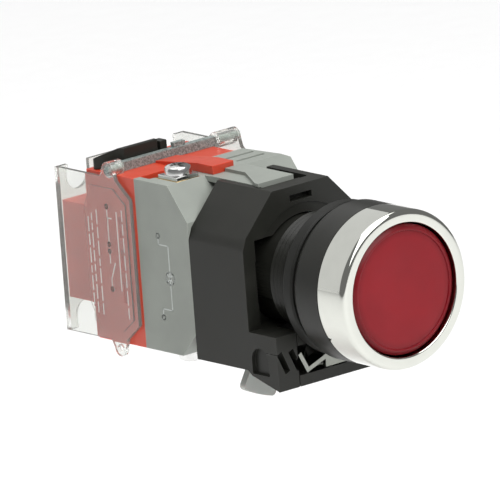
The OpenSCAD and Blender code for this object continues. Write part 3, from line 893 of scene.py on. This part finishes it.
FINISHES: dict[str, Finish] = {
    "chrome_trim": Metal(
        "chrome_trim", (0.68, 0.69, 0.64), (0.55, 0.56, 0.52), (0.03, 0.08), 0.3, 400.0, 0.0004
    ),
    "red_lens": StainedLens("red_lens", (0.25, 0.008, 0.014), (0.13, 0.004, 0.008), mm(11.8)),
    "white_plastic": Moulded("white_plastic", (0.78, 0.77, 0.73), (0.66, 0.64, 0.6), glow=0.15),
    "spring_steel": Metal("spring_steel", (0.5, 0.5, 0.52), (0.3, 0.3, 0.3), (0.22, 0.35)),
    "black_gloss": Moulded(
        "black_gloss", (0.012, 0.0125, 0.01), (0.02, 0.02, 0.017), (0.3, 0.44), 6000.0, 0.004, 0.5, shine=0.3
    ),
    "gasket_rubber": Moulded(
        "gasket_rubber", (0.009, 0.0095, 0.008), (0.018, 0.018, 0.016), (0.42, 0.58), 3500.0, 0.012, 0.8,
        shine=0.22,
    ),
    "black_plastic": Moulded(
        "black_plastic", (0.016, 0.0165, 0.0135), (0.024, 0.024, 0.02), (0.38, 0.5), 5200.0, 0.01, shine=0.3
    ),
    "light_grey_plastic": Moulded(
        "light_grey_plastic", (0.46, 0.48, 0.45), (0.38, 0.4, 0.38), (0.4, 0.55), glow=0.1
    ),
    "zinc_steel": Metal("zinc_steel", (0.32, 0.33, 0.3), (0.2, 0.21, 0.19), (0.28, 0.42), 0.8, 4000.0, 0.006),
    "grey_plastic": Moulded(
        "grey_plastic", (0.29, 0.31, 0.28), (0.25, 0.267, 0.243), (0.42, 0.55), 6500.0, 0.008, shine=0.35
    ),
    "circuit_board": CircuitBoard("circuit_board", (0.012, 0.1, 0.03), (0.03, 0.2, 0.06)),
    "resistor_body": Moulded("resistor_body", (0.5, 0.36, 0.2), (0.42, 0.29, 0.15), (0.2, 0.35), coat=0.4),
    "capacitor_body": Moulded("capacitor_body", (0.25, 0.1, 0.03), (0.2, 0.07, 0.02), (0.25, 0.4), coat=0.3),
    "lamp_plastic": Moulded(
        "lamp_plastic", (0.85, 0.8, 0.74), (0.76, 0.7, 0.62), (0.2, 0.35), coat=0.3, glow=0.3
    ),
    "brass": Metal("brass", (0.72, 0.52, 0.22), (0.45, 0.3, 0.12), (0.2, 0.38), 0.8, 5000.0, 0.004),
    "bright_steel": Metal(
        "bright_steel", (0.78, 0.78, 0.77), (0.5, 0.5, 0.48), (0.12, 0.28), 0.7, 4500.0, 0.005
    ),
    "red_plastic": Moulded(
        "red_plastic", (0.6, 0.062, 0.026), (0.5, 0.045, 0.022), (0.32, 0.46), 6000.0, 0.006, 0.5, 0.15, 0.25
    ),
    "galvanised_steel": Galvanised(
        "galvanised_steel", (0.26, 0.3, 0.29), (0.13, 0.155, 0.148), (0.33, 0.37, 0.355)
    ),
    "clear_plastic": ClearMoulding("clear_plastic", (0.86, 0.87, 0.84)),
    "pale_ink": Moulded("pale_ink", (0.5, 0.53, 0.51), (0.42, 0.45, 0.43), (0.5, 0.65), 3000.0, 0.01),
    "white_ink": Moulded("white_ink", (0.62, 0.58, 0.55), (0.5, 0.46, 0.44), (0.5, 0.65), 3000.0, 0.01),
    "table": Moulded("table", (0.93, 0.93, 0.93), (0.9, 0.9, 0.9), (0.5, 0.6), 300.0, 0.01, 0.1),
}


@dataclass
class Workshop:
    """Builds the materials when they are first wanted, and dresses pieces.

    Attributes:
        effects: The shared node groups.
        made: The materials made so far.
    """

    effects: Effects = field(default_factory=Effects)
    made: dict[str, bpy.types.Material] = field(default_factory=dict)

    def material(self, name: str) -> bpy.types.Material:
        """Find a material, which is built when it is first wanted.

        Args:
            name: The finish.

        Returns:
            The material.
        """
        if name not in self.made:
            self.made[name] = FINISHES[name].build(self.effects)
        return self.made[name]

    def dress(self, piece: bpy.types.Object, name: str) -> bpy.types.Object:
        """Give a piece one material.

        Args:
            piece: A new piece or a CAD node's object.
            name: The finish.

        Returns:
            The piece.
        """
        piece.data.materials.clear()
        piece.data.materials.append(self.material(name))
        return piece


# ---- Geometry Nodes ----


class GeometryMaker:
    """Runs a geometry node tree once and keeps its plain mesh."""

    def __init__(self, name: str, inputs: dict[str, tuple[str, object]]) -> None:
        """Start a tree.

        Args:
            name: The tree's name.
            inputs: Socket type and default of each named input.
        """
        self.group = bpy.data.node_groups.new(name, "GeometryNodeTree")
        self.group.interface.new_socket("Geometry", in_out="INPUT", socket_type="NodeSocketGeometry")
        for key, (kind, value) in inputs.items():
            socket = self.group.interface.new_socket(key, in_out="INPUT", socket_type=kind)
            if value is not None:
                socket.default_value = value
        self.group.interface.new_socket("Geometry", in_out="OUTPUT", socket_type="NodeSocketGeometry")
        self.tree = Tree(self.group)
        self.given = self.tree.add("NodeGroupInput").outputs
        self.out = self.tree.add("NodeGroupOutput")

    def end(self, geometry: bpy.types.NodeSocket) -> None:
        """Finish the tree with real geometry that has its material.

        Args:
            geometry: The tree's last geometry.
        """
        real = self.tree.add("GeometryNodeRealizeInstances", Geometry=geometry)
        dressed = self.tree.add(
            "GeometryNodeSetMaterial", Geometry=real.outputs[0], Material=self.given["Material"]
        )
        self.group.links.new(dressed.outputs[0], self.out.inputs[0])

    def run(self, name: str, start: bpy.types.Mesh, values: dict[str, object]) -> bpy.types.Object:
        """Evaluate the tree on a mesh.

        Args:
            name: The piece's name.
            start: The mesh that the tree starts from.
            values: Input values by name.

        Returns:
            The piece, as a plain mesh.
        """
        piece = finished(name, start)
        modifier = piece.modifiers.new("make", "NODES")
        modifier.node_group = self.group
        for item in self.group.interface.items_tree:
            if item.in_out == "INPUT" and item.name in values:
                modifier[item.identifier] = values[item.name]
        baked(piece)
        piece.data.materials.clear()
        piece.data.materials.append(values["Material"])
        piece.data.polygons.foreach_set("material_index", [0] * len(piece.data.polygons))
        return piece


def points_mesh(name: str, places: list[tuple[Vector, Vector]]) -> bpy.types.Mesh:
    """A mesh of loose points, each with a direction in its "up" attribute.

    Args:
        name: The mesh's name.
        places: Point in metres and direction of each.

    Returns:
        The mesh.
    """
    mesh = bpy.data.meshes.new(name)
    mesh.from_pydata([tuple(p) for p, _ in places], [], [])
    ups = mesh.attributes.new("up", "FLOAT_VECTOR", "POINT")
    for i, (_, up) in enumerate(places):
        ups.data[i].vector = up
    return mesh


class ScrewMaker(GeometryMaker):
    """Pan head screws with a cross recess, placed on points and turned to their direction."""

    def __init__(self) -> None:
        """Build the tree."""
        number = "NodeSocketFloat"
        super().__init__("pan_head_screws", {
            "Head Radius": (number, mm(2.5)), "Head Height": (number, mm(1.6)),
            "Shank Radius": (number, mm(1.5)), "Shank Length": (number, mm(4.0)),
            "Slot Width": (number, mm(0.7)), "Seed": ("NodeSocketInt", 3),
            "Material": ("NodeSocketMaterial", None),
        })
        t, g = self.tree, self.given
        half_h = t.math("MULTIPLY", g["Head Height"], 0.5)
        # A low cylinder whose upper rim is drawn in twice makes the pan
        pan = t.add("GeometryNodeMeshCylinder", Vertices=48, Radius=g["Head Radius"], Depth=half_h)
        lifted = t.add("GeometryNodeTransform", Geometry=pan.outputs["Mesh"],
                       Translation=t.vector(Z=t.math("MULTIPLY", half_h, 0.5)))
        normal = t.add("GeometryNodeInputNormal")
        up = t.add("ShaderNodeSeparateXYZ", Vector=normal.outputs[0])
        solid, top = lifted.outputs[0], t.math("GREATER_THAN", up.outputs[2], 0.9)
        for share, scale in ((0.28, 0.93), (0.16, 0.8), (0.06, 0.55)):
            pushed = t.add("GeometryNodeExtrudeMesh", Mesh=solid, Selection=top,
                           Offset_Scale=t.math("MULTIPLY", g["Head Height"], share), Individual=False)
            drawn = t.add("GeometryNodeScaleElements", Geometry=pushed.outputs["Mesh"],
                          Selection=pushed.outputs["Top"], Scale=scale)
            solid, top = drawn.outputs[0], pushed.outputs["Top"]
        shank = t.add(
            "GeometryNodeMeshCylinder", Vertices=32, Radius=g["Shank Radius"], Depth=g["Shank Length"]
        )
        sunk = t.add("GeometryNodeTransform", Geometry=shank.outputs["Mesh"],
                     Translation=t.vector(Z=t.math("MULTIPLY", g["Shank Length"], -0.499)))
        slot_long = t.math("MULTIPLY", g["Head Radius"], 1.25)
        cutters = t.add("GeometryNodeJoinGeometry")
        for long_x in (True, False):
            size = t.vector(X=slot_long if long_x else g["Slot Width"],
                            Y=g["Slot Width"] if long_x else slot_long, Z=g["Head Height"])
            bar = t.add("GeometryNodeMeshCube", Size=size)
            self.group.links.new(bar.outputs["Mesh"], cutters.inputs[0])
        raised = t.add("GeometryNodeTransform", Geometry=cutters.outputs[0],
                       Translation=t.vector(Z=t.math("MULTIPLY", g["Head Height"], 1.08)))
        cut = t.add("GeometryNodeMeshBoolean", {"operation": "DIFFERENCE", "solver": "EXACT"}, Mesh_1=solid,
                    Self_Intersection=True)
        self.group.links.new(raised.outputs[0], cut.inputs["Mesh 2"])
        whole = t.add("GeometryNodeJoinGeometry")
        self.group.links.new(sunk.outputs[0], whole.inputs[0])
        self.group.links.new(cut.outputs[0], whole.inputs[0])
        way = t.add("GeometryNodeInputNamedAttribute", {"data_type": "FLOAT_VECTOR"}, Name="up")
        aim = t.add("FunctionNodeAlignRotationToVector", {"axis": "Z"}, Vector=way.outputs[0])
        # Each screw stops at its own angle
        turn = t.add(
            "FunctionNodeRandomValue", {"data_type": "FLOAT"}, in2=0.0, in3=math.pi / 2, Seed=g["Seed"]
        )
        spin = t.add("FunctionNodeAxisAngleToRotation", Axis=(0, 0, 1), Angle=turn.outputs[1])
        rotation = t.add("FunctionNodeRotateRotation", {"rotation_space": "LOCAL"}, Rotation=aim.outputs[0],
                         Rotate_By=spin.outputs[0])
        spread = t.add("GeometryNodeInstanceOnPoints", Points=g["Geometry"], Instance=whole.outputs[0],
                       Rotation=rotation.outputs[0])
        self.end(spread.outputs[0])


class CoilMaker(GeometryMaker):
    """A helical spring along +Y: a closed tube swept on a helix."""

    def __init__(self) -> None:
        """Build the tree."""
        number = "NodeSocketFloat"
        super().__init__("helix", {
            "Radius": (number, mm(9)), "Wire Radius": (number, mm(0.35)), "Turns": (number, 5.0),
            "Length": (number, mm(10)), "Sides": ("NodeSocketInt", 12),
            "Start": ("NodeSocketVector", (0, 0, 0)), "Material": ("NodeSocketMaterial", None),
        })
        t, g = self.tree, self.given
        helix = t.add(
            "GeometryNodeCurveSpiral", Resolution=48, Rotations=g["Turns"], Start_Radius=g["Radius"],
            End_Radius=g["Radius"], Height=g["Length"],
        )
        wire = t.add("GeometryNodeCurvePrimitiveCircle", Resolution=g["Sides"], Radius=g["Wire Radius"])
        tube = t.add(
            "GeometryNodeCurveToMesh", Curve=helix.outputs[0], Profile_Curve=wire.outputs[0], Fill_Caps=True
        )
        smooth = t.add("GeometryNodeSetShadeSmooth", Geometry=tube.outputs[0], Shade_Smooth=True)
        turned = t.add("GeometryNodeTransform", Geometry=smooth.outputs[0], Translation=g["Start"],
                       Rotation=(-math.pi / 2, 0, 0))
        self.end(turned.outputs[0])


class BandMaker(GeometryMaker):
    """Equal bands in a row along a piece, as the colour bands of a resistor."""

    def __init__(self) -> None:
        """Build the tree."""
        number = "NodeSocketFloat"
        super().__init__("bands", {
            "Radius": (number, mm(1.03)), "Width": (number, mm(0.45)), "Pitch": (number, mm(1.1)),
            "Count": ("NodeSocketInt", 4), "Material": ("NodeSocketMaterial", None),
        })
        t, g = self.tree, self.given
        band = t.add("GeometryNodeMeshCylinder", Vertices=32, Radius=g["Radius"], Depth=g["Width"])
        lying = t.add("GeometryNodeTransform", Geometry=band.outputs["Mesh"], Rotation=(0, math.pi / 2, 0))
        row = t.add("GeometryNodeMeshLine", Count=g["Count"], Offset=t.vector(X=g["Pitch"]))
        shift = t.math("MULTIPLY", g["Pitch"], t.math("MULTIPLY", t.math("SUBTRACT", g["Count"], 1.0), -0.5))
        centred = t.add("GeometryNodeTransform", Geometry=row.outputs[0], Translation=t.vector(X=shift))
        one = t.add("GeometryNodeInstanceOnPoints", Points=centred.outputs[0], Instance=lying.outputs[0])
        spread = t.add("GeometryNodeInstanceOnPoints", Points=g["Geometry"], Instance=one.outputs[0])
        self.end(spread.outputs[0])


@dataclass
class Makers:
    """The geometry node trees, each built once."""

    screws: ScrewMaker = field(default_factory=ScrewMaker)
    coils: CoilMaker = field(default_factory=CoilMaker)
    bands: BandMaker = field(default_factory=BandMaker)


# ---- Prints ----


class Side(Enum):
    """Which face a print lies on."""

    NEAR = -1
    FAR = 1


def print_lines(
    name: str, strokes: list[Points], width: float, x: float, side: Side, thick: float = 0.012
) -> bpy.types.Object:
    """Thin raised lines on a face that looks along X.

    Args:
        name: The piece's name.
        strokes: Open polylines of (y, z) in millimetres.
        width: Width of the lines, in millimetres.
        x: Where the face lies, in millimetres.
        side: Which way the face looks.
        thick: How far the ink stands out, in millimetres.

    Returns:
        The piece.
    """
    work = bmesh.new()
    outer, inner = mm(x + side.value * thick), mm(x - side.value * thick)
    for stroke in strokes:
        for (y0, z0), (y1, z1) in zip(stroke, stroke[1:]):
            run = Vector((y1 - y0, z1 - z0)).normalized() * (width / 2)
            aside = Vector((-run.y, run.x))
            quad = [
                (y0 - run.x + aside.x, z0 - run.y + aside.y), (y1 + run.x + aside.x, z1 + run.y + aside.y),
                (y1 + run.x - aside.x, z1 + run.y - aside.y), (y0 - run.x - aside.x, z0 - run.y - aside.y),
            ]
            rims = [[work.verts.new((face, mm(y), mm(z))) for y, z in quad] for face in (outer, inner)]
            work.faces.new(rims[0])
            work.faces.new(rims[1][::-1])
            for k in range(4):
                n = (k + 1) % 4
                work.faces.new((rims[0][k], rims[1][k], rims[1][n], rims[0][n]))
    return from_bmesh(name, work)


def circle_stroke(y: float, z: float, radius: float, steps: int = 20) -> Points:
    """A closed round polyline.

    Args:
        y: Middle, in millimetres.
        z: Middle, in millimetres.
        radius: Radius, in millimetres.
        steps: Straight stretches round it.

    Returns:
        The polyline.
    """
    turn = [2 * math.pi * k / steps for k in range(steps + 1)]
    return [(y + radius * math.cos(a), z + radius * math.sin(a)) for a in turn]


# ---- Sub-assemblies ----


@dataclass
class OperatorHead:
    """Bezel, lens and the head with its neck, all about the Y axis.

    Attributes:
        shop: Dresses the pieces.
        makers: The geometry node trees.
        bezel_edge: Radius of the bezel's front shoulder.
        lens_bevel: Width of the lens's bevelled rim.
        coil_turns: Turns of the return spring.
    """

    shop: Workshop
    makers: Makers
    bezel_edge: float = 2.3
    lens_bevel: float = 0.75
    coil_turns: float = 5.0

    def build(self) -> None:
        """Make and dress every piece of the head."""
        self.bezel()
        self.lens()
        self.body()
        for node, name, radius in (
            ("panel_gasket", "gasket_ring", 0.25), ("diffuser_disc", "diffuser", 0.15),
            ("button_stem", "stem_tube", 0.2), ("retaining_clip", "clip_ring", 0.12),
        ):
            self.shop.dress(Skin(radius, 2).of(node, name), SLOTS[node])
        self.spring()

    def bezel(self) -> None:
        """Chrome ring with a full front shoulder."""
        lo, hi = low("bezel_ring"), high("bezel_ring")
        outer, front, rear = hi.x, lo.y, hi.y
        bore = high("lens_cap").x + 0.35
        spigot = bore + 1.2
        shelf = front + 2.0
        profile = rounded([
            (spigot, rear, 0), (outer, rear, 0.35), (outer, front, self.bezel_edge), (bore, front, 0.35),
            (bore, shelf, 0), (spigot, shelf, 0),
        ], 12)
        piece = spun("bezel", profile, 192)
        self.shop.dress(stands_for(piece, "bezel_ring"), "chrome_trim")

    def lens(self) -> None:
        """Red cap with a bevelled rim and a shallow dish in its front."""
        lo, hi = low("lens_cap"), high("lens_cap")
        outer, front, rear = hi.x, lo.y, hi.y
        bevel, wall, thick = self.lens_bevel, 1.1, 1.4
        dish = [(r, front + 0.1 * (1 - (r / (outer - bevel - 0.4)) ** 2)) for r in (0.0, 3.0, 6.0, 8.5)]
        profile = dish + rounded([
            (outer - bevel - 0.4, front, 0.3), (outer - bevel, front, 0.2),
            (outer, front + bevel * 0.7, 0.25),
            (outer, rear, 0.15), (outer - wall, rear, 0.15), (outer - wall, front + thick, 0.3),
        ], 4) + [(0.0, front + thick)]
        self.shop.dress(stands_for(spun("lens", profile, 160), "lens_cap"), "red_lens")

    def body(self) -> None:
        """Flange, groove, neck with its thread, barrel and the two lugs."""
        piece = Skin(0.0, 2, 30).of("head_body", "head")
        self.shop.dress(piece, "black_gloss")

    def spring(self) -> None:
        """Return spring, which the button presses together."""
        lo, hi = low("return_spring"), high("return_spring")
        wire = 0.35
        length = hi.y - lo.y - 2 * wire
        piece = self.makers.coils.run("return_coil", bpy.data.meshes.new("coil_start"), {
            "Radius": mm(hi.x - wire), "Wire Radius": mm(wire), "Turns": self.coil_turns, "Length": mm(length),
            "Start": (0.0, mm(lo.y + wire), 0.0), "Material": self.shop.material("spring_steel"),
        })
        stands_for(piece, "return_spring")
        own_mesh(piece)


@dataclass
class MountingCollar:
    """Collar, lock lever and clamp.

    Attributes:
        shop: Dresses the pieces.
    """

    shop: Workshop

    def build(self) -> None:
        """Make and dress every piece of the collar."""
        self.shop.dress(Skin(0.3, 3, 30).of("mounting_collar", "collar"), "black_plastic")
        tab = Skin(0.25, 3, corner=2.6, beyond=20)
        self.shop.dress(tab.of("lock_lever", "lever"), "light_grey_plastic")
        self.shop.dress(Skin(0.15, 2).of("clamp_plate", "clamp_strip"), "zinc_steel")
        self.shop.dress(Skin(0.12, 2).of("clamp_nut", "clamp_nut_block"), "zinc_steel")
        self.shop.dress(Skin(0.12, 2).of("clamp_screw", "clamp_bolt"), "zinc_steel")


@dataclass
class LedBlock:
    """Grey block with the lamp, its board and its two terminals.

    Attributes:
        shop: Dresses the pieces.
        makers: The geometry node trees.
        screw_x: Where the terminal screws stand.
    """

    shop: Workshop
    makers: Makers
    screw_x: float = -9.0

    def build(self) -> None:
        """Make and dress every piece of the LED block."""
        for node, name, radius, finish in (
            ("led_housing", "lamp_housing", 0.28, "grey_plastic"),
            ("led_rear_plate", "rear_lid", 0.15, "grey_plastic"),
            ("led_board", "board", 0.08, "circuit_board"),
            ("led_resistors", "resistors", 0.2, "resistor_body"),
            ("led_capacitor", "capacitor", 0.3, "capacitor_body"),
            ("lamp_holder", "lamp_socket", 0.2, "white_plastic"),
            ("led_lamp", "lamp_dome", 0.1, "lamp_plastic"),
            ("led_terminals", "lamp_terminals", 0.12, "brass"),
            ("led_clamp_washers", "square_washers", 0.14, "bright_steel"),
        ):
            self.shop.dress(Skin(radius, 3).of(node, name), finish)
        self.screws()
        self.bands()
        self.print()

    def screws(self) -> None:
        """The two terminal screws, one at the top and one at the bottom."""
        lo, hi = low("led_terminal_screws"), high("led_terminal_screws")
        middle = (lo.y + hi.y) / 2
        seat = high("led_clamp_washers").z
        places = [
            (Vector((mm(self.screw_x), mm(middle), mm(sign * seat))), Vector((0, 0, sign)))
            for sign in (1, -1)
        ]
        piece = self.makers.screws.run("lamp_terminal_screws", points_mesh("screw_points", places), {
            "Head Radius": mm(hi.x - self.screw_x), "Head Height": mm(hi.z - seat), "Shank Length": mm(4.0),
            "Material": self.shop.material("bright_steel"),
        })
        smooth_by_angle(piece.data, 35)
        stands_for(piece, "led_terminal_screws")

    def bands(self) -> None:
        """Colour bands round the two resistors."""
        lo, hi = low("led_resistors"), high("led_resistors")
        y = (lo.y + hi.y) / 2
        places = [(Vector((0, mm(y), mm(z))), Vector((1, 0, 0))) for z in (-4.5, 4.5)]
        piece = self.makers.bands.run("resistor_bands", points_mesh("band_points", places), {
            "Material": self.shop.material("capacitor_body"),
        })
        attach(piece, "base")

    def print(self) -> None:
        """Plain wiring lines with a lamp sign on the near side."""
        margin, depth = 5.6, 2.6
        top, bottom = 4.3, -7.6
        stub, dot_out, dot_radius = 1.0, 1.6, 0.45
        lamp_radius, cross = 1.15, 0.8
        line = high("led_rear_plate").y - margin
        edge = line - depth
        middle = (top + bottom) / 2
        strokes = [
            [(line, top), (edge, top), (edge, bottom), (line, bottom)],
            [(line, top), (line, top + stub)], [(line, bottom), (line, bottom - stub)],
            circle_stroke(edge, middle, lamp_radius),
            [(edge - cross, middle - cross), (edge + cross, middle + cross)],
            [(edge - cross, middle + cross), (edge + cross, middle - cross)],
            circle_stroke(line, top + dot_out, dot_radius, 12),
            circle_stroke(line, bottom - dot_out, dot_radius, 12),
        ]
        piece = print_lines("lamp_print", strokes, 0.22, low("led_housing").x, Side.NEAR)
        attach(piece, "base")
        self.shop.dress(piece, "pale_ink")


@dataclass
class ContactBlock:
    """Red block with its carrier, bridges, springs, contacts, strap and barrier.

    Attributes:
        shop: Dresses the pieces.
        makers: The geometry node trees.
        terminal_x: Distance of the terminal screws from the middle plane.
        contact_air: Air left between the closed contacts, in millimetres.
    """

    shop: Workshop
    makers: Makers
    terminal_x: float = 10.25
    contact_air: float = 0.03

    def build(self) -> None:
        """Make and dress every piece of the contact block."""
        for node, name, radius, finish in (
            ("contact_housing", "contact_case", 0.3, "red_plastic"),
            ("contact_front_plate", "contact_lid", 0.15, "red_plastic"),
            ("transfer_fork", "fork", 0.15, "white_plastic"),
            ("contact_carrier", "carrier", 0.15, "white_plastic"),
            ("closing_bridge", "moving_bridge", 0.1, "brass"),
            ("opening_bridge", "resting_bridge", 0.1, "brass"),
            ("opening_contacts", "opening_strips", 0.1, "brass"),
            ("contact_clamp_washers", "terminal_washers", 0.12, "bright_steel"),
            ("ear_strap", "strap", 0.16, "galvanised_steel"),
            ("terminal_barrier", "barrier", 0.18, "black_gloss"),
        ):
            self.shop.dress(Skin(radius, 3).of(node, name), finish)
        strips = self.shop.dress(Skin(0.1, 3).of("closing_contacts", "closing_strips"), "brass")
        # The bridge ends its travel on these strips, so a hair of air keeps the two meshes apart
        strips.data.transform(Matrix.Translation((0, mm(self.contact_air), 0)))
        self.screws()
        self.springs()

    def screws(self) -> None:
        """The four terminal screws at the rear."""
        hi = high("contact_terminal_screws")
        seat = high("contact_clamp_washers").y
        head = hi.x - self.terminal_x
        z = hi.z - head
        places = [
            (Vector((mm(sx * self.terminal_x), mm(seat), mm(sz * z))), Vector((0, 1, 0)))
            for sx in (-1, 1) for sz in (1, -1)
        ]
        piece = self.makers.screws.run("contact_screws", points_mesh("contact_screw_points", places), {
            "Head Radius": mm(head), "Head Height": mm(hi.y - seat), "Shank Length": mm(5.0), "Seed": 8,
            "Material": self.shop.material("bright_steel"),
        })
        smooth_by_angle(piece.data, 35)
        stands_for(piece, "contact_terminal_screws")

    def springs(self) -> None:
        """The carrier's spring and the small springs of the two bridges."""
        squeeze = BUTTON_TRAVEL - BRIDGE_TRAVEL
        for node, name, turns, wire, joint, stroke, carried in (
            ("carrier_spring", "carrier_coil", 4.0, 0.3, "button_press", BUTTON_TRAVEL, 0.0),
            ("closing_spring", "closing_coil", 4.0, 0.2, "button_press", squeeze, BRIDGE_TRAVEL),
            ("opening_spring", "opening_coil", 3.0, 0.2, None, 0.0, 0.0),
        ):
            lo, hi = low(node), high(node)
            length = hi.y - lo.y - 2 * wire
            piece = self.makers.coils.run(name, bpy.data.meshes.new(name), {
                "Radius": mm((hi.x - lo.x) / 2 - wire), "Wire Radius": mm(wire), "Turns": turns,
                "Length": mm(length), "Start": (mm((lo.x + hi.x) / 2), mm(lo.y + wire), 0.0),
                "Material": self.shop.material("spring_steel"),
            })
            stands_for(piece, node)
            if joint:
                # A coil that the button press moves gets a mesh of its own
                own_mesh(piece)


@dataclass
class ClearCover:
    """Clear hinged cover with a printed contact diagram.

    Attributes:
        shop: Dresses the pieces.
    """

    shop: Workshop

    def build(self) -> None:
        """Make and dress the cover."""
        self.shop.dress(Skin(0.22, 3).of("terminal_cover", "cover"), "clear_plastic")
        self.print()

    def print(self) -> None:
        """Contact diagram and rows of plain bars on the near side."""
        mid, link, columns = 45.2, 42.6, (41.1, 48.2, 49.6, 50.6)
        strokes: list[Points] = []
        # Opening contact above and closing contact below, each with its two leads
        for z, closed in ((6.3, True), (-2.0, False)):
            strokes += [
                [(mid, z + 3.1), (mid, z + 1.4)], [(mid, z - 1.6), (mid, z - 3.1)],
                [(mid, z - 1.6), (mid - (0.1 if closed else 1.3), z + 1.4)],
                circle_stroke(mid, z + 3.5, 0.35, 10), circle_stroke(mid, z - 3.5, 0.35, 10),
            ]
            if closed:
                strokes.append([(mid, z + 1.4), (mid - 1.1, z + 1.4)])
        strokes.append([(link, 9.0), (link, -5.4)])
        # Short and long dashes without any letters
        for column, y in enumerate(columns):
            z = 9.5 - column * 0.8
            while z > -10.5:
                dash = 1.1 + 0.7 * ((column * 3 + int(z * 2)) % 3)
                strokes.append([(y, z), (y, z - dash)])
                z -= dash + 0.75
        piece = print_lines("cover_print", strokes, 0.26, low("terminal_cover").x, Side.NEAR)
        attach(piece, "cover")
        self.shop.dress(piece, "white_ink")


# ---- Camera and light ----

# The middle of the object, which every soft box looks at
MIDDLE = (0.0, mm(20), 0.0)


@dataclass(frozen=True)
class View:
    """A camera far away on a long lens.

    Attributes:
        azimuth: Degrees round +Z from the view along +Y.
        elevation: Degrees above the horizon.
        roll: Degrees that the camera is turned about its own axis.
        distance: From the camera to the target.
        frame_width: Width of the view at the target.
        target: The point that the offset counts from.
        offset: How far right and down of the middle the target lies.
    """

    azimuth: float = -39.6
    elevation: float = 14.16
    roll: float = -4.39
    distance: float = 3.224
    frame_width: float = 0.0891266
    target: tuple[float, float, float] = (0.0, mm(8.6), 0.0)
    offset: tuple[float, float] = (0.0105348, 0.0051515)

    def build(self) -> bpy.types.Object:
        """Make the camera and let the scene use it.

        Returns:
            The camera.
        """
        az, el, roll = (math.radians(a) for a in (self.azimuth, self.elevation, self.roll))
        back = Vector((math.sin(az) * math.cos(el), -math.cos(az) * math.cos(el), math.sin(el)))
        level = Vector((math.cos(az), math.sin(az), 0))
        rise = back.cross(level)
        right = level * math.cos(roll) + rise * math.sin(roll)
        up = back.cross(right)
        place = Vector(self.target) + back * self.distance - right * self.offset[0] + up * self.offset[1]
        data = bpy.data.cameras.new("camera")
        data.sensor_width = SENSOR
        data.lens = SENSOR * self.distance / self.frame_width
        data.clip_start = 0.1
        data.clip_end = 50
        camera = bpy.data.objects.new("camera", data)
        camera.matrix_world = Matrix((
            (right.x, up.x, back.x, place.x), (right.y, up.y, back.y, place.y),
            (right.z, up.z, back.z, place.z), (0, 0, 0, 1)))
        bpy.context.scene.collection.objects.link(camera)
        bpy.context.scene.camera = camera
        return camera


@dataclass(frozen=True)
class Lamp:
    """A square soft box that looks at the object.

    Attributes:
        name: The light's name.
        place: Where it stands, in metres.
        size: Its side, in metres.
        power: Its power, in watts.
    """

    name: str
    place: tuple[float, float, float]
    size: float
    power: float

    def build(self) -> bpy.types.Object:
        """Make the light.

        Returns:
            The light.
        """
        data = bpy.data.lights.new(self.name, "AREA")
        data.energy = self.power
        data.size = self.size
        lamp = bpy.data.objects.new(self.name, data)
        lamp.location = self.place
        aim = Vector(MIDDLE) - Vector(self.place)
        lamp.rotation_euler = aim.to_track_quat("-Z", "Y").to_euler()
        bpy.context.scene.collection.objects.link(lamp)
        return lamp


@dataclass(frozen=True)
class Studio:
    """White surroundings, a white floor and soft boxes.

    Attributes:
        strength: Brightness of the surroundings.
        floor_drop: How far the floor lies under the object.
        lamps: The soft boxes.
    """

    strength: float = 0.2
    floor_drop: float = mm(45)
    lamps: tuple[Lamp, ...] = (
        Lamp("key", (-0.05, -0.7, 0.95), 1.3, 17.5),
        Lamp("top", (0.1, 0.2, 1.2), 1.1, 8.0),
        Lamp("back", (-0.15, 1.3, 0.4), 2.3, 10.0),
    )

    def build(self, shop: Workshop) -> None:
        """Make the surroundings, the floor and the lights.

        Args:
            shop: Dresses the floor.
        """
        scene = bpy.context.scene
        scene.view_settings.view_transform = "Standard"
        world = bpy.data.worlds.new("studio")
        scene.world = world
        world.use_nodes = True
        back = world.node_tree.nodes["Background"]
        back.inputs["Color"].default_value = (1, 1, 1, 1)
        back.inputs["Strength"].default_value = self.strength
        for lamp in self.lamps:
            lamp.build()
        work = bmesh.new()
        bmesh.ops.create_grid(work, x_segments=1, y_segments=1, size=6.0)
        floor = from_bmesh("floor", work)
        floor.data.transform(Matrix.Translation((0, 0, CAD_BOX[0][2] - self.floor_drop)))
        shop.dress(floor, "table")


def main() -> None:
    """Build the button, then the studio round it."""
    shop, makers = Workshop(), Makers()
    for assembly in (
        OperatorHead(shop, makers), MountingCollar(shop), LedBlock(shop, makers),
        ContactBlock(shop, makers), ClearCover(shop),
    ):
        assembly.build()
        log.info("%s is built", type(assembly).__name__)
    View().build()
    Studio().build(shop)


if __name__ == "__main__":
    logging.basicConfig(level=logging.INFO, format="%(name)s: %(message)s")
    main()
